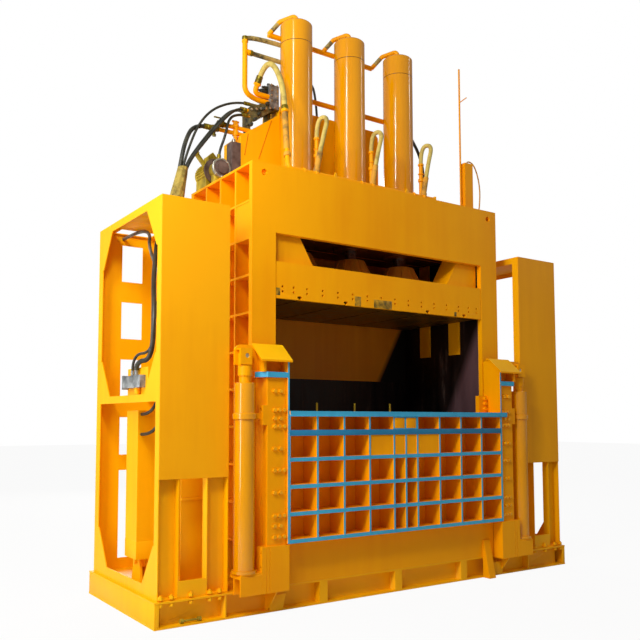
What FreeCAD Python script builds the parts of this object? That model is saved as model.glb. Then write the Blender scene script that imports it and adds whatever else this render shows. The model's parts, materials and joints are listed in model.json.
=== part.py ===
import FreeCAD, Part
import math
import os
import re

import Sketcher
from FreeCAD import Placement, Rotation, Vector

# Three-cylinder vertical baler with a lifting front gate, in millimetres.
# +Z is up, the gate faces -Y, and the origin lies on the floor under the middle of the base.
# Distances named "depth" run back from the front edge of the base.

SIZES = {
    # base skid: outward-facing channels round a deck
    "base_half_width": 2244,
    "base_depth": 1404,
    "base_height": 190,
    "flange_reach": 70,
    "flange_plate": 14,
    "web_plate": 12,
    "stiffener_width": 78,
    "stiffener_offset": 792,
    "socket_gusset": 1290,
    # press frame: five portal plates one behind the other
    "portal_half_width": 1413,
    "opening_half_width": 1189,
    "frame_front": 101,
    "front_plate": 50,
    "portal_plate": 25,
    "portal_pitch": 268,
    "portal_foot": 492,
    "frame_top": 3553,
    "deck_plate": 20,
    "front_beam_bottom": 2989,
    "crosshead_bottom": 3110,
    "crosshead_plate": 30,
    "wall_plate": 20,
    "liner_plate": 12,
    "rib_plate": 20,
    "rib_pitch": 303,
    "lowest_rib": 496,
    "lifting_hole_radius": 27,
    "lifting_hole_side": 113,
    "lifting_hole_drop": 81,
    "sill_top": 520,
    "sill_strut": 1040,
    "strut_width": 85,
    "strut_height": 345,
    "rear_liner_top": 1878,
    "rear_rib_depth": 80,
    # platen guide rails on the side walls
    "rail_thick": 15,
    "rail_bottom": 2130,
    "front_rail_depth": 391,
    "rear_rail_depth": 817,
    "rail_width": 152,
    # pressing cylinders
    "cylinder_pitch": 622,
    "cylinder_depth": 659,
    "cylinder_radius": 149.5,
    "cylinder_bore": 125,
    "cylinder_top": 5154,
    "cap_height": 60,
    "cap_round": 16,
    "gland_height": 90,
    "sleeve_radius": 172,
    "sleeve_fit": 0.5,
    "rod_radius": 65,
    "piston_length": 150,
    "running_fit": 0.08,
    "press_stroke": 1400,
    # platen
    "platen_front": 104,
    "platen_plate": 30,
    "platen_depth": 1095,
    "platen_half_width": 1160,
    "platen_beam_half": 1183,
    "platen_bottom": 2455,
    "platen_height": 265,
    "platen_web": 24,
    "platen_face_plate": 40,
    "beam_rise": 38,
    "ear_setback": 57,
    "ear_height": 360,
    "ear_outer": 1140,
    "ear_inner_top": 965,
    "ear_inner_bottom": 775,
    "slot_width": 22,
    "slot_pitch": 477,
    "slot_head": 44,
    "bolt_row_pitch": 160,
    "bolt_row_low": 59,
    "bolt_row_high": 99,
    "end_bolt": 1013,
    "outer_bolt": 1122,
    "bolt_hole_radius": 10,
    "cone_base_radius": 270,
    "cone_top_radius": 145,
    "cone_height": 265,
    "cone_ribs": 12,
    # platen position rod
    "travel_rod_side": 1135,
    "travel_rod_depth": 300,
    "travel_rod_radius": 9,
    "travel_rod_spare": 97,
    "finger_height": 4700,
    "finger_radius": 5,
    "finger_length": 100,
    # lifting gate
    "gate_front": -114,
    "gate_back": 95,
    "gate_bottom": 522,
    "gate_top": 1540,
    "gate_half_width": 1193,
    "gate_wide_cell": 265,
    "gate_narrow_cell": 133,
    "gate_row_pitch": 208.5,
    "gate_rail": 30,
    "gate_web": 18,
    "gate_skin": 16,
    "gate_plate_recess": 5,
    "lip_reach": 79,
    "gate_side_plate": 16,
    "gate_side_top": 2049,
    "gate_side_front_top": 1938,
    "gate_side_peak": 18,
    "post_gap": 3,
    "post_width": 169,
    "post_front": -90,
    "post_top": 1795,
    "post_foot": 516,
    "housing_front": -112,
    "housing_bottom": 172,
    "housing_reach": 56,
    "housing_side": 20,
    "cheek_depth": 83,
    # gate cylinders beside the posts
    "lift_axis": 1545,
    "lift_depth": -29,
    "lift_radius": 78,
    "lift_bore": 62,
    "lift_rod": 46,
    "lift_foot": 331,
    "lift_barrel_top": 1752,
    "lift_collar": 1499,
    "lift_pin_height": 1958,
    "lift_pin_radius": 18,
    "lug_plate": 20,
    "lug_gap": 46,
    "lug_round": 76,
    "front_lug_inner": 38,
    "front_lug_outer": 62,
    "lug_rise": 88,
    "lug_corner": 56,
    "arm_plate_low": 1797,
    "arm_plate_high": 1839,
    "arm_plate_reach": 1452,
    "arm_web_side": 1400,
    "hood_length": 284,
    # side towers
    "tower_inner": 1649,
    "tower_outer": 2213,
    "tower_front": 25,
    "tower_rear": 1380,
    "tower_top": 3122,
    "tower_plate": 8,
    "tower_cover": 6,
    "cover_bottom": 1042,
    "post_flange": 71,
    "outer_post_width": 164,
    "inner_post_width": 179,
    "rear_leg": 92,
    "top_rail": 62,
    "middle_rail": 59,
    "middle_rail_low": 1604,
    "rail_shelf": 120,
    "bottom_rail": 78,
    "gusset_rise": 300,
    "gusset_run": 215,
    "window_centre": 1913,
    "window_width": 192,
    "window_height": 326,
    "window_pitch": 510,
    "top_window": 2698,
    "low_window_bottom": 279,
    "low_window_top": 1033,
    # box column inside each tower
    "column_outer": 2110,
    "column_front": 690,
    "column_size_y": 240,
    "column_bottom": 470,
    "column_top": 1546,
    # hydraulic tank and pipes on the deck
    "tank_front": 850,
    "tank_size_y": 320,
    "tank_left": 680,
    "tank_right": 515,
    "tank_top": 4430,
    "tank_wall": 8,
    "wing_left": 1105,
    "wing_low": 4058,
    "wing_high": 4348,
    "manifold_left": 996,
    "manifold_lift": 70,
    "manifold_depth": 150,
    "pipe_radius": 24,
    "hose_radius": 25,
    "upper_pipe": 5090,
    "lower_pipe": 4560,
    "pipe_depth": 850,
    "riser_side": 1064,
    "arch_low_side": 958,
}

doc = FreeCAD.newDocument("recycling_baler")
sheet = doc.addObject("Spreadsheet::Sheet", "Sizes")
for row, (name, value) in enumerate(SIZES.items(), start=1):
    sheet.set(f"A{row}", name)
    sheet.set(f"B{row}", str(value))
    sheet.setAlias(f"B{row}", name)
doc.recompute()

SUBPARTS = []


# ---------------------------------------------------------------- helpers


# Heights that follow from other sizes.
SEATS = {
    "platen_deck": "(platen_bottom + platen_height)",
    "platen_beam_top": "(platen_bottom + platen_height + beam_rise)",
    "ear_top": "(platen_bottom + platen_height + ear_height)",
    "cone_top": "(platen_bottom + platen_height + cone_height)",
    "travel_rod_top": "(frame_top + press_stroke + travel_rod_spare)",
}


def formula(text):
    """Turn words that are sizes into references to the sheet."""
    spelled = re.sub(r"[a-z]\w*", lambda word: SEATS.get(word.group(), word.group()), text)
    return re.sub(r"[a-z]\w*", lambda word: "Sizes."
                  + word.group() if word.group() in SIZES else word.group(), spelled)


def size(name):
    return float(sheet.get(name))


def at(x, depth, z):
    """A point, from its depth behind the front edge of the base."""
    return Vector(x, depth - size("base_depth") / 2, z)


def setback(text):
    return f"({text}) - base_depth / 2"


def keep(part, label):
    """Register a finished sub-part under its own name."""
    part.Label = label
    SUBPARTS.append(part)
    return part


def block(name, across, depth, up):
    """A rectangular plate or bar between named faces: (low, high) along X, depth and Z."""
    part = doc.addObject("Part::Box", name)
    part.setExpression("Length", formula(f"({across[1]}) - ({across[0]})"))
    part.setExpression("Width", formula(f"({depth[1]}) - ({depth[0]})"))
    part.setExpression("Height", formula(f"({up[1]}) - ({up[0]})"))
    part.setExpression("Placement.Base.x", formula(across[0]))
    part.setExpression("Placement.Base.y", formula(setback(depth[0])))
    part.setExpression("Placement.Base.z", formula(up[0]))
    return part


def bar(name, centre, radius, length, turn=None):
    """A round bar from its start point (x, depth, z); turn tips it away from +Z."""
    part = doc.addObject("Part::Cylinder", name)
    if turn:
        part.Placement = Placement(Vector(), turn)
    part.setExpression("Radius", formula(radius))
    part.setExpression("Height", formula(length))
    part.setExpression("Placement.Base.x", formula(centre[0]))
    part.setExpression("Placement.Base.y", formula(setback(centre[1])))
    part.setExpression("Placement.Base.z", formula(centre[2]))
    return part


ALONG_X = Rotation(Vector(0, 1, 0), 90)
ALONG_Y = Rotation(Vector(1, 0, 0), -90)


def joined(name, pieces):
    part = doc.addObject("Part::MultiFuse", name)
    part.Shapes = pieces
    part.Refine = True
    return part


def less(name, base, tools):
    """Take one or more shapes away from a base."""
    tool = tools[0] if len(tools) == 1 else joined(name + "_tools", tools)
    part = doc.addObject("Part::Cut", name)
    part.Base = base
    part.Tool = tool
    part.Refine = True
    return part


def grouped(name, pieces):
    """Like solids that share one sub-part."""
    part = doc.addObject("Part::Compound", name)
    part.Links = pieces
    return part


def opposite(name, source):
    """The same piece on the other side of the machine."""
    part = doc.addObject("Part::Mirroring", name)
    part.Source = source
    part.Base = Vector(0, 0, 0)
    part.Normal = Vector(1, 0, 0)
    return part


def plane_of(body, role):
    return next(feature for feature in body.Origin.OriginFeatures if feature.Role == role)


def draw_loop(sketch, corners):
    """A closed outline whose corners are formulas measured from the sketch's origin."""
    start = sketch.GeometryCount
    count = len(corners)
    for index in range(count):
        first = 2 * math.pi * index / count
        second = 2 * math.pi * (index + 1) / count
        sketch.addGeometry(Part.LineSegment(
            Vector(900 * math.cos(first), 900 * math.sin(first), 0),
            Vector(900 * math.cos(second), 900 * math.sin(second), 0)))
    for index in range(count):
        after = (index + 1) % count
        sketch.addConstraint(Sketcher.Constraint("Coincident", start + index, 2, start + after, 1))
    for index, corner in enumerate(corners):
        for kind, text in zip(("DistanceX", "DistanceY"), corner):
            number = sketch.addConstraint(Sketcher.Constraint(kind, -1, 1, start + index, 1, 1.0))
            sketch.setExpression(f"Constraints[{number}]", formula(text))


def draw_circle(sketch, centre, radius):
    index = sketch.addGeometry(Part.Circle(Vector(0, 0, 0), Vector(0, 0, 1), 10))
    for kind, text in zip(("DistanceX", "DistanceY"), centre):
        number = sketch.addConstraint(Sketcher.Constraint(kind, -1, 1, index, 3, 1.0))
        sketch.setExpression(f"Constraints[{number}]", formula(text))
    number = sketch.addConstraint(Sketcher.Constraint("Radius", index, 10))
    sketch.setExpression(f"Constraints[{number}]", formula(radius))


def rectangle(west, east, south, north):
    return [(west, south), (east, south), (east, north), (west, north)]


def sketched_body(name, role, loops, circles, start):
    """A body with one sketch on its own plane; start is where that plane stands."""
    body = doc.addObject("PartDesign::Body", name)
    sketch = body.newObject("Sketcher::SketchObject", name + "_outline")
    sketch.AttachmentSupport = [(plane_of(body, role), "")]
    sketch.MapMode = "FlatFace"
    for corners in loops:
        draw_loop(sketch, corners)
    for centre, radius in circles:
        draw_circle(sketch, centre, radius)
    offsets = {"x": "0", "y": setback("0"), "z": "0"}
    if role == "XZ_Plane":
        offsets["y"] = setback(start)
    if role == "YZ_Plane":
        offsets["x"] = start
    if role == "XY_Plane":
        offsets["z"] = start
    for axis, text in offsets.items():
        body.setExpression(f"Placement.Base.{axis}", formula(text))
    return body, sketch


def sheet_piece(name, role, loops, thickness, start, circles=()):
    """A plate cut to an outline. Outlines are in X-Z, depth-Z or X-depth."""
    body, sketch = sketched_body(name, role, loops, circles, start)
    pad = body.newObject("PartDesign::Pad", name + "_plate")
    pad.Profile = sketch
    pad.Reversed = role == "XZ_Plane"
    pad.setExpression("Length", formula(thickness))
    return body


def turned(name, outline, across, depth):
    """A turned piece: an outline in radius and height, spun round its own upright axis."""
    body, sketch = sketched_body(name, "XZ_Plane", [outline], (), depth)
    body.setExpression("Placement.Base.x", formula(across))
    spin = body.newObject("PartDesign::Revolution", name + "_spin")
    spin.Profile = sketch
    spin.ReferenceAxis = (sketch, ["V_Axis"])
    spin.Angle = 360
    return body


def route_wire(points):
    """Straight runs joined by arcs as large as the runs allow; prints the tightest one."""
    edges = []
    here = points[0]
    radii = []
    for before, corner, after in zip(points, points[1:], points[2:]):
        incoming = corner - before
        outgoing = after - corner
        half_turn = incoming.getAngle(outgoing) / 2
        shorter = min(incoming.Length, outgoing.Length)
        radius = 0.45 * shorter / math.tan(half_turn)
        radii.append(radius)
        reach = radius * math.tan(half_turn)
        incoming.normalize()
        outgoing.normalize()
        entry = corner - incoming * reach
        leave = corner + outgoing * reach
        bisector = outgoing - incoming
        bisector.normalize()
        middle = corner + bisector * (radius / math.cos(half_turn) - radius)
        edges.append(Part.LineSegment(here, entry).toShape())
        edges.append(Part.Arc(entry, middle, leave).toShape())
        here = leave
    edges.append(Part.LineSegment(here, points[-1]).toShape())
    return Part.Wire(edges), radii


def tube(name, points, radius):
    """A solid hose or pipe along a route, with its length and tightest radius printed."""
    wire, radii = route_wire(points)
    start = points[0]
    direction = points[1] - points[0]
    ring = Part.Wire([Part.Circle(start, direction, radius).toShape()])
    pipe = wire.makePipeShell([ring], True, False)
    expected = math.pi * radius ** 2 * wire.Length
    tightest = min(radii) if radii else 0
    ratio = pipe.Volume / expected
    print(f"{name}: length {wire.Length:.0f}, tightest radius {tightest:.0f}, volume ratio {ratio:.4f}")
    return pipe


def routed(name, shapes):
    """A sub-part made of hoses or pipes that follow their own routes."""
    part = doc.addObject("Part::Feature", name)
    part.Shape = Part.makeCompound(shapes) if len(shapes) > 1 else shapes[0]
    part.Placement = Placement()
    return part


# ---------------------------------------------------------------- base skid


def make_base():
    full = block("base_outline", ("-base_half_width", "base_half_width"), ("0", "base_depth"),
                 ("0", "base_height"))
    belt = block("belt_outer", ("-base_half_width", "base_half_width"), ("0", "base_depth"),
                 ("flange_plate", "base_height - flange_plate"))
    core = block("belt_inner", ("-base_half_width + flange_reach", "base_half_width - flange_reach"),
                 ("flange_reach", "base_depth - flange_reach"),
                 ("flange_plate", "base_height - flange_plate"))
    channel = less("channel_recess", belt, [core])
    wall = "flange_reach + web_plate"
    hollow = block("base_hollow", (f"-base_half_width + {wall}", f"base_half_width - {wall}"),
                   (wall, f"base_depth - {wall}"), ("0", "base_height - flange_plate"))
    shell = less("base_shell", full, [channel, hollow])
    bars = []
    for index, centre in enumerate(("-tower_inner", "-opening_half_width", "0", "opening_half_width",
                                    "tower_inner")):
        bars.append(block(f"cross_bar_{index}", (f"{centre} - 60", f"{centre} + 60"),
                          ("flange_reach", "base_depth - flange_reach"), ("0", "base_height - 1")))
    for index, centre in enumerate(("-stiffener_offset", "0", "stiffener_offset")):
        for side, depth in enumerate((("0", "flange_reach + 1"),
                                      ("base_depth - flange_reach - 1", "base_depth"))):
            bars.append(block(f"stiffener_{index}_{side}",
                              (f"{centre} - stiffener_width / 2", f"{centre} + stiffener_width / 2"),
                              depth, ("1", "base_height - 1")))
    for index, centre in enumerate(("-tower_inner - 31", "tower_inner + 31")):
        for side, depth in enumerate((("0", "flange_reach + 1"),
                                      ("base_depth - flange_reach - 1", "base_depth"))):
            bars.append(block(f"fin_{index}_{side}",
                              (f"{centre} - web_plate / 2", f"{centre} + web_plate / 2"),
                              depth, ("1", "base_height - 1")))
    for side, start in enumerate(("-socket_gusset - flange_plate", "socket_gusset")):
        bars.append(sheet_piece(f"socket_gusset_{side}", "YZ_Plane", [[
            ("housing_front + 12", "housing_bottom"), ("flange_reach + 1", "housing_bottom"),
            ("flange_reach + 1", "flange_plate"), ("flange_reach / 3", "flange_plate - 1"),
        ]], "flange_plate", start))
    keep(joined("base", [shell] + bars), "base_skid")
    # Loose pin with a knob at each end, left lying on the front lower flange.
    pin = [bar("pin_shank", ("-2030", "28", "flange_plate + 17"), "8", "155", ALONG_X)]
    for index, start in enumerate(("-2036", "-1896")):
        pin.append(bar(f"pin_knob_{index}", (start, "28", "flange_plate + 17"), "17", "26", ALONG_X))
    keep(joined("tie_pin_body", pin), "tie_pin")


# ---------------------------------------------------------------- press frame


def portal_circles():
    """Lifting holes near the two top corners."""
    drop = "frame_top - lifting_hole_drop"
    side = "portal_half_width - lifting_hole_side"
    return [((f"-({side})", drop), "lifting_hole_radius"), ((side, drop), "lifting_hole_radius")]


def portal_front(number):
    return f"frame_front + {number} * portal_pitch"


def make_portals():
    front_loops = [
        rectangle("-portal_half_width", "portal_half_width", "base_height", "frame_top"),
        rectangle("-opening_half_width", "opening_half_width", "portal_foot", "front_beam_bottom"),
    ]
    front = sheet_piece("front_portal_plate", "XZ_Plane", front_loops, "front_plate", "frame_front",
                        portal_circles())
    keep(front, "front_portal")
    inner_half = "opening_half_width + liner_plate + wall_plate"
    inner_top = "frame_top - deck_plate"
    loops = [
        rectangle("-portal_half_width", "portal_half_width", "base_height", inner_top),
        rectangle(f"-({inner_half})", inner_half, "portal_foot", "crosshead_bottom"),
    ]
    keep(sheet_piece("second_plate", "XZ_Plane", loops, "portal_plate", portal_front(1)), "second_portal")
    keep(sheet_piece("fourth_plate", "XZ_Plane", loops, "portal_plate", portal_front(3)), "fourth_portal")
    rear = sheet_piece("rear_plate", "XZ_Plane", loops, "front_plate", portal_front(4), portal_circles())
    keep(rear, "rear_portal")
    # The middle portal is cut away round the cylinders: a C-shaped half on each side.
    stub = "cylinder_pitch + sleeve_radius"
    half = [
        ("portal_half_width", "base_height"), ("portal_half_width", inner_top), (stub, inner_top),
        (stub, "crosshead_bottom"), (inner_half, "crosshead_bottom"), (inner_half, "portal_foot"),
        ("1", "portal_foot"), ("1", "base_height"),
    ]
    right = sheet_piece("middle_plate_right", "XZ_Plane", [half], "portal_plate", portal_front(2))
    keep(right, "middle_portal_right")
    keep(opposite("middle_plate_left", right), "middle_portal_left")


def rear_face():
    return f"{portal_front(4)} + front_plate"


def make_crosshead():
    """Deck, floor plate and the three sleeves that the pressing cylinders sit in."""
    inner_half = "opening_half_width"
    pieces = [block("deck", ("-portal_half_width", "portal_half_width"),
                    ("frame_front + front_plate", rear_face()),
                    ("frame_top - deck_plate", "frame_top"))]
    bays = [("frame_front + front_plate", portal_front(1)),
            (f"{portal_front(1)} + portal_plate", f"{portal_front(3)}"),
            (f"{portal_front(3)} + portal_plate", portal_front(4))]
    for index, bay in enumerate(bays):
        pieces.append(block(f"crosshead_floor_{index}", (f"-{inner_half}", inner_half), bay,
                            ("crosshead_bottom", "crosshead_bottom + crosshead_plate")))
        for side, centre in enumerate(("-cylinder_pitch / 2", "cylinder_pitch / 2")):
            pieces.append(block(f"crosshead_stringer_{index}_{side}", (f"{centre} - 10", f"{centre} + 10"),
                                bay,
                                ("crosshead_bottom", "frame_top - deck_plate / 2")))
    stub_end = "cylinder_pitch + sleeve_radius"
    middle = block("middle_web", (f"-({stub_end}) + 40", f"{stub_end} - 40"),
                   (portal_front(2), f"{portal_front(2)} + portal_plate"),
                   ("crosshead_bottom", "frame_top - deck_plate / 2"))
    pieces.append(middle)
    holes = []
    for number in (-1, 0, 1):
        centre = (f"{number} * cylinder_pitch", "cylinder_depth", "crosshead_bottom")
        pieces.append(bar(f"sleeve_{number + 2}", centre, "sleeve_radius", "frame_top - crosshead_bottom"))
        low = (centre[0], centre[1], "crosshead_bottom - 5")
        holes.append(bar(f"sleeve_bore_{number + 2}", low, "cylinder_radius + sleeve_fit",
                         "frame_top - crosshead_bottom + 10"))
    # The floor plate is notched where the middle portal's halves stand.
    notches = [block(f"notch_{side}", span, (portal_front(2), f"{portal_front(2)} + portal_plate"),
                     ("crosshead_bottom - 5", "frame_top - deck_plate"))
               for side, span in enumerate(((f"-opening_half_width - 5", f"-({stub_end})"),
                                            (stub_end, "opening_half_width + 5")))]
    body = joined("crosshead_body", pieces)
    slot = block("finger_slot", ("travel_rod_side - finger_radius - 3",
                                 "travel_rod_side + finger_radius + 3"),
                 ("travel_rod_depth - finger_length - 12", "travel_rod_depth"),
                 ("frame_top - deck_plate - 5", "frame_top + 5"))
    rod = less("crosshead_bored", body, holes + notches + [travel_rod_hole("crosshead_rod_hole"), slot])
    keep(rod, "crosshead")


def travel_rod_hole(name):
    start = ("travel_rod_side", "travel_rod_depth", "crosshead_bottom - 5")
    return bar(name, start, "travel_rod_radius + 3", "frame_top - crosshead_bottom + 10")


def make_side_walls():
    """Side plate of the chamber, stiffened by shelves between the portals."""
    inner = "opening_half_width + liner_plate"
    outer = f"{inner} + wall_plate"
    pieces = [block("side_plate", (inner, outer), ("frame_front + front_plate", rear_face()),
                    ("portal_foot", "crosshead_bottom - 1"))]
    bays = [("frame_front + front_plate", portal_front(1))]
    for number in (1, 2, 3):
        bays.append((f"{portal_front(number)} + portal_plate", portal_front(number + 1)))
    for bay_number, bay in enumerate(bays):
        for level in range(10):
            low = f"lowest_rib + {level} * rib_pitch"
            start = f"{inner} + 1" if level < 9 else "opening_half_width + 1"
            pieces.append(block(f"shelf_{bay_number}_{level}", (start, "portal_half_width"), bay,
                                (low, f"{low} + rib_plate")))
        pieces.append(block(f"side_head_{bay_number}", ("opening_half_width", outer), bay,
                            ("crosshead_bottom - 1", "frame_top - deck_plate")))
    pieces.append(block("pocket_cover", ("portal_half_width - 14", "portal_half_width - 4"), bays[0],
                        ("lowest_rib + 8 * rib_pitch + 1", "lowest_rib + 9 * rib_pitch + 1")))
    wall = joined("side_wall", pieces)
    keep(wall, "side_wall_right")
    keep(opposite("side_wall_mirror", wall), "side_wall_left")


def make_rear_wall():
    half = "portal_half_width - 60"
    back = f"{rear_face()} + wall_plate"
    pieces = [block("back_plate", (f"-({half})", half), (rear_face(), back),
                    ("portal_foot - 60", "frame_top - 200"))]
    for index, centre in enumerate(("-1060", "-530", "0", "530", "1060")):
        pieces.append(block(f"back_upright_{index}",
                            (f"{centre} - rib_plate / 2", f"{centre} + rib_plate / 2"),
                            (f"{back} - 1", f"{back} + rear_rib_depth"),
                            ("portal_foot - 60", "frame_top - 200")))
    for level in range(0, 10, 1):
        low = f"lowest_rib + {level} * rib_pitch"
        pieces.append(block(f"back_shelf_{level}", (f"-({half})", half),
                            (f"{back} - 1", f"{back} + rear_rib_depth"),
                            (low, f"{low} + rib_plate")))
    keep(joined("rear_wall_body", pieces), "rear_wall")


def make_liners():
    """Bare steel wear plates that line the chamber."""
    outer = "opening_half_width + liner_plate"
    side_span = ("frame_front + front_plate", f"{rear_face()} - liner_plate")
    right = block("liner_right", ("opening_half_width", outer), side_span,
                  ("sill_top", "crosshead_bottom - 1"))
    left = block("liner_left", (f"-({outer})", "-opening_half_width"), side_span,
                 ("sill_top", "crosshead_bottom - 1"))
    rear = block("liner_rear", (f"-({outer})", outer), (f"{rear_face()} - liner_plate", rear_face()),
                 ("sill_top", "rear_liner_top"))
    keep(grouped("liners", [right, left, rear]), "chamber_liners")


def make_floor():
    inner = "opening_half_width + liner_plate"
    slab = block("floor_plate", (f"-({inner})", inner), ("frame_front + front_plate", rear_face()),
                 ("portal_foot", "sill_top"))
    grooves = [block(f"strap_groove_{number + 2}",
                     (f"{number} * slot_pitch - slot_width / 2", f"{number} * slot_pitch + slot_width / 2"),
                     ("frame_front", f"{rear_face()} + 5"), ("sill_top - slot_width", "sill_top + 5"))
               for number in (-2, -1, 0, 1, 2)]
    keep(less("floor", slab, grooves), "chamber_floor")


def make_sill():
    """Front sill under the gate, with one tapered strut to the floor."""
    sill = block("sill_plate", ("-opening_half_width", "opening_half_width"), ("0", "frame_front"),
                 ("base_height", "sill_top"))
    foot = block("sill_step", ("-opening_half_width", "opening_half_width"),
                 ("frame_front", "frame_front + front_plate"),
                 ("portal_foot", "sill_top"))
    strut_outline = [("0", "0"), ("0", "strut_height"), ("-16", "strut_height"), ("-strut_width", "0")]
    strut = sheet_piece("strut", "YZ_Plane", [strut_outline], "strut_width", "sill_strut")
    keep(joined("sill", [sill, foot, strut]), "front_sill")


def make_guide_rails():
    """Upright strips on the side walls that the platen's ears run past."""
    strips = []
    for side, span in enumerate((("opening_half_width - rail_thick", "opening_half_width"),
                                 ("-opening_half_width", "-opening_half_width + rail_thick"))):
        for index, start in enumerate(("front_rail_depth", "rear_rail_depth")):
            strips.append(block(f"guide_strip_{side}_{index}", span, (start, f"{start} + rail_width"),
                                ("rail_bottom", "crosshead_bottom - 1")))
    keep(grouped("guide_strips", strips), "platen_guides")


# ---------------------------------------------------------------- pressing cylinders


def make_cylinders():
    """Closed-top tubes with a gland at the foot, and the rod and piston inside each."""
    outline = [
        ("cylinder_bore", "crosshead_bottom + gland_height"), ("cylinder_bore", "cylinder_top - cap_height"),
        ("0", "cylinder_top - cap_height"), ("0", "cylinder_top"),
        ("cylinder_radius - cap_round", "cylinder_top"),
        ("cylinder_radius", "cylinder_top - cap_round"), ("cylinder_radius", "crosshead_bottom"),
        ("sleeve_radius - 6", "crosshead_bottom"), ("sleeve_radius - 6", "crosshead_bottom - 30"),
        ("rod_radius + running_fit", "crosshead_bottom - 30"),
        ("rod_radius + running_fit", "crosshead_bottom + gland_height"),
    ]
    rest = "cylinder_top - cap_height - 5"
    rod_outline = [
        ("0", "platen_deck + 1"), ("rod_radius", "platen_deck + 1"),
        ("rod_radius", f"{rest} - piston_length"),
        ("0", f"{rest} - piston_length"),
    ]
    piston_outline = [
        ("0", f"{rest} - piston_length"), ("cylinder_bore - running_fit", f"{rest} - piston_length"),
        ("cylinder_bore - running_fit", f"{rest} - 8"), ("cylinder_bore - 8", rest), ("0", rest),
    ]
    pistons = []
    for number, side in zip((-1, 0, 1), ("left", "middle", "right")):
        across = f"{number} * cylinder_pitch"
        keep(turned(f"barrel_{side}", outline, across, "cylinder_depth"), f"press_cylinder_{side}")
        keep(turned(f"rod_{side}", rod_outline, across, "cylinder_depth"), f"press_rod_{side}")
        pistons.append(turned(f"piston_{side}", piston_outline, across, "cylinder_depth"))
        keep(make_cone(side, across), f"rod_cone_{side}")
    keep(grouped("pistons", pistons), "press_pistons")


def make_cone(side, across):
    """Flared socket that spreads the rod's force into the platen, with ribs down its flank."""
    flank = turned(f"cone_{side}", [
        ("rod_radius", "platen_deck"), ("cone_base_radius - 22", "platen_deck"),
        ("cone_top_radius - 12", "cone_top"), ("rod_radius", "cone_top"),
    ], across, "cylinder_depth")
    rib_body, rib_sketch = sketched_body(f"cone_rib_{side}", "XZ_Plane", [[
        ("rod_radius + 20", "platen_deck"), ("cone_base_radius", "platen_deck"),
        ("cone_top_radius", "cone_top - 12"), ("cone_top_radius - 10", "cone_top"),
        ("rod_radius + 20", "cone_top"),
    ]], (), "cylinder_depth")
    rib_body.setExpression("Placement.Base.x", formula(across))
    rib = rib_body.newObject("PartDesign::Pad", f"cone_rib_pad_{side}")
    rib.Profile = rib_sketch
    rib.Midplane = True
    rib.setExpression("Length", formula("rib_plate + 8"))
    doc.recompute()
    ring = rib_body.newObject("PartDesign::PolarPattern", f"cone_rib_ring_{side}")
    ring.Originals = [rib]
    ring.Axis = (rib_sketch, ["V_Axis"])
    ring.Angle = 360
    ring.setExpression("Occurrences", formula("cone_ribs"))
    rib_body.Tip = ring
    bore = bar(f"cone_bore_{side}", (across, "cylinder_depth", "platen_deck - 5"), "rod_radius",
               "cone_top - platen_deck + 10")
    return less(f"cone_socket_{side}", joined(f"cone_ribbed_{side}", [flank, rib_body]), [bore])


# ---------------------------------------------------------------- platen


def keyhole(number, below):
    """Outline of one strapping groove, wider at its head; below is how far it starts under the face."""
    centre = f"{number} * slot_pitch"
    neck = "platen_bottom + 14"
    crown = "platen_bottom + 32"
    return [
        (f"{centre} - slot_width / 2", f"platen_bottom - {below}"),
        (f"{centre} + slot_width / 2", f"platen_bottom - {below}"),
        (f"{centre} + slot_width / 2", neck), (f"{centre} + slot_head / 2", neck),
        (f"{centre} + slot_head / 2", crown), (f"{centre} - slot_head / 2", crown),
        (f"{centre} - slot_head / 2", neck), (f"{centre} - slot_width / 2", neck),
    ]


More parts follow.
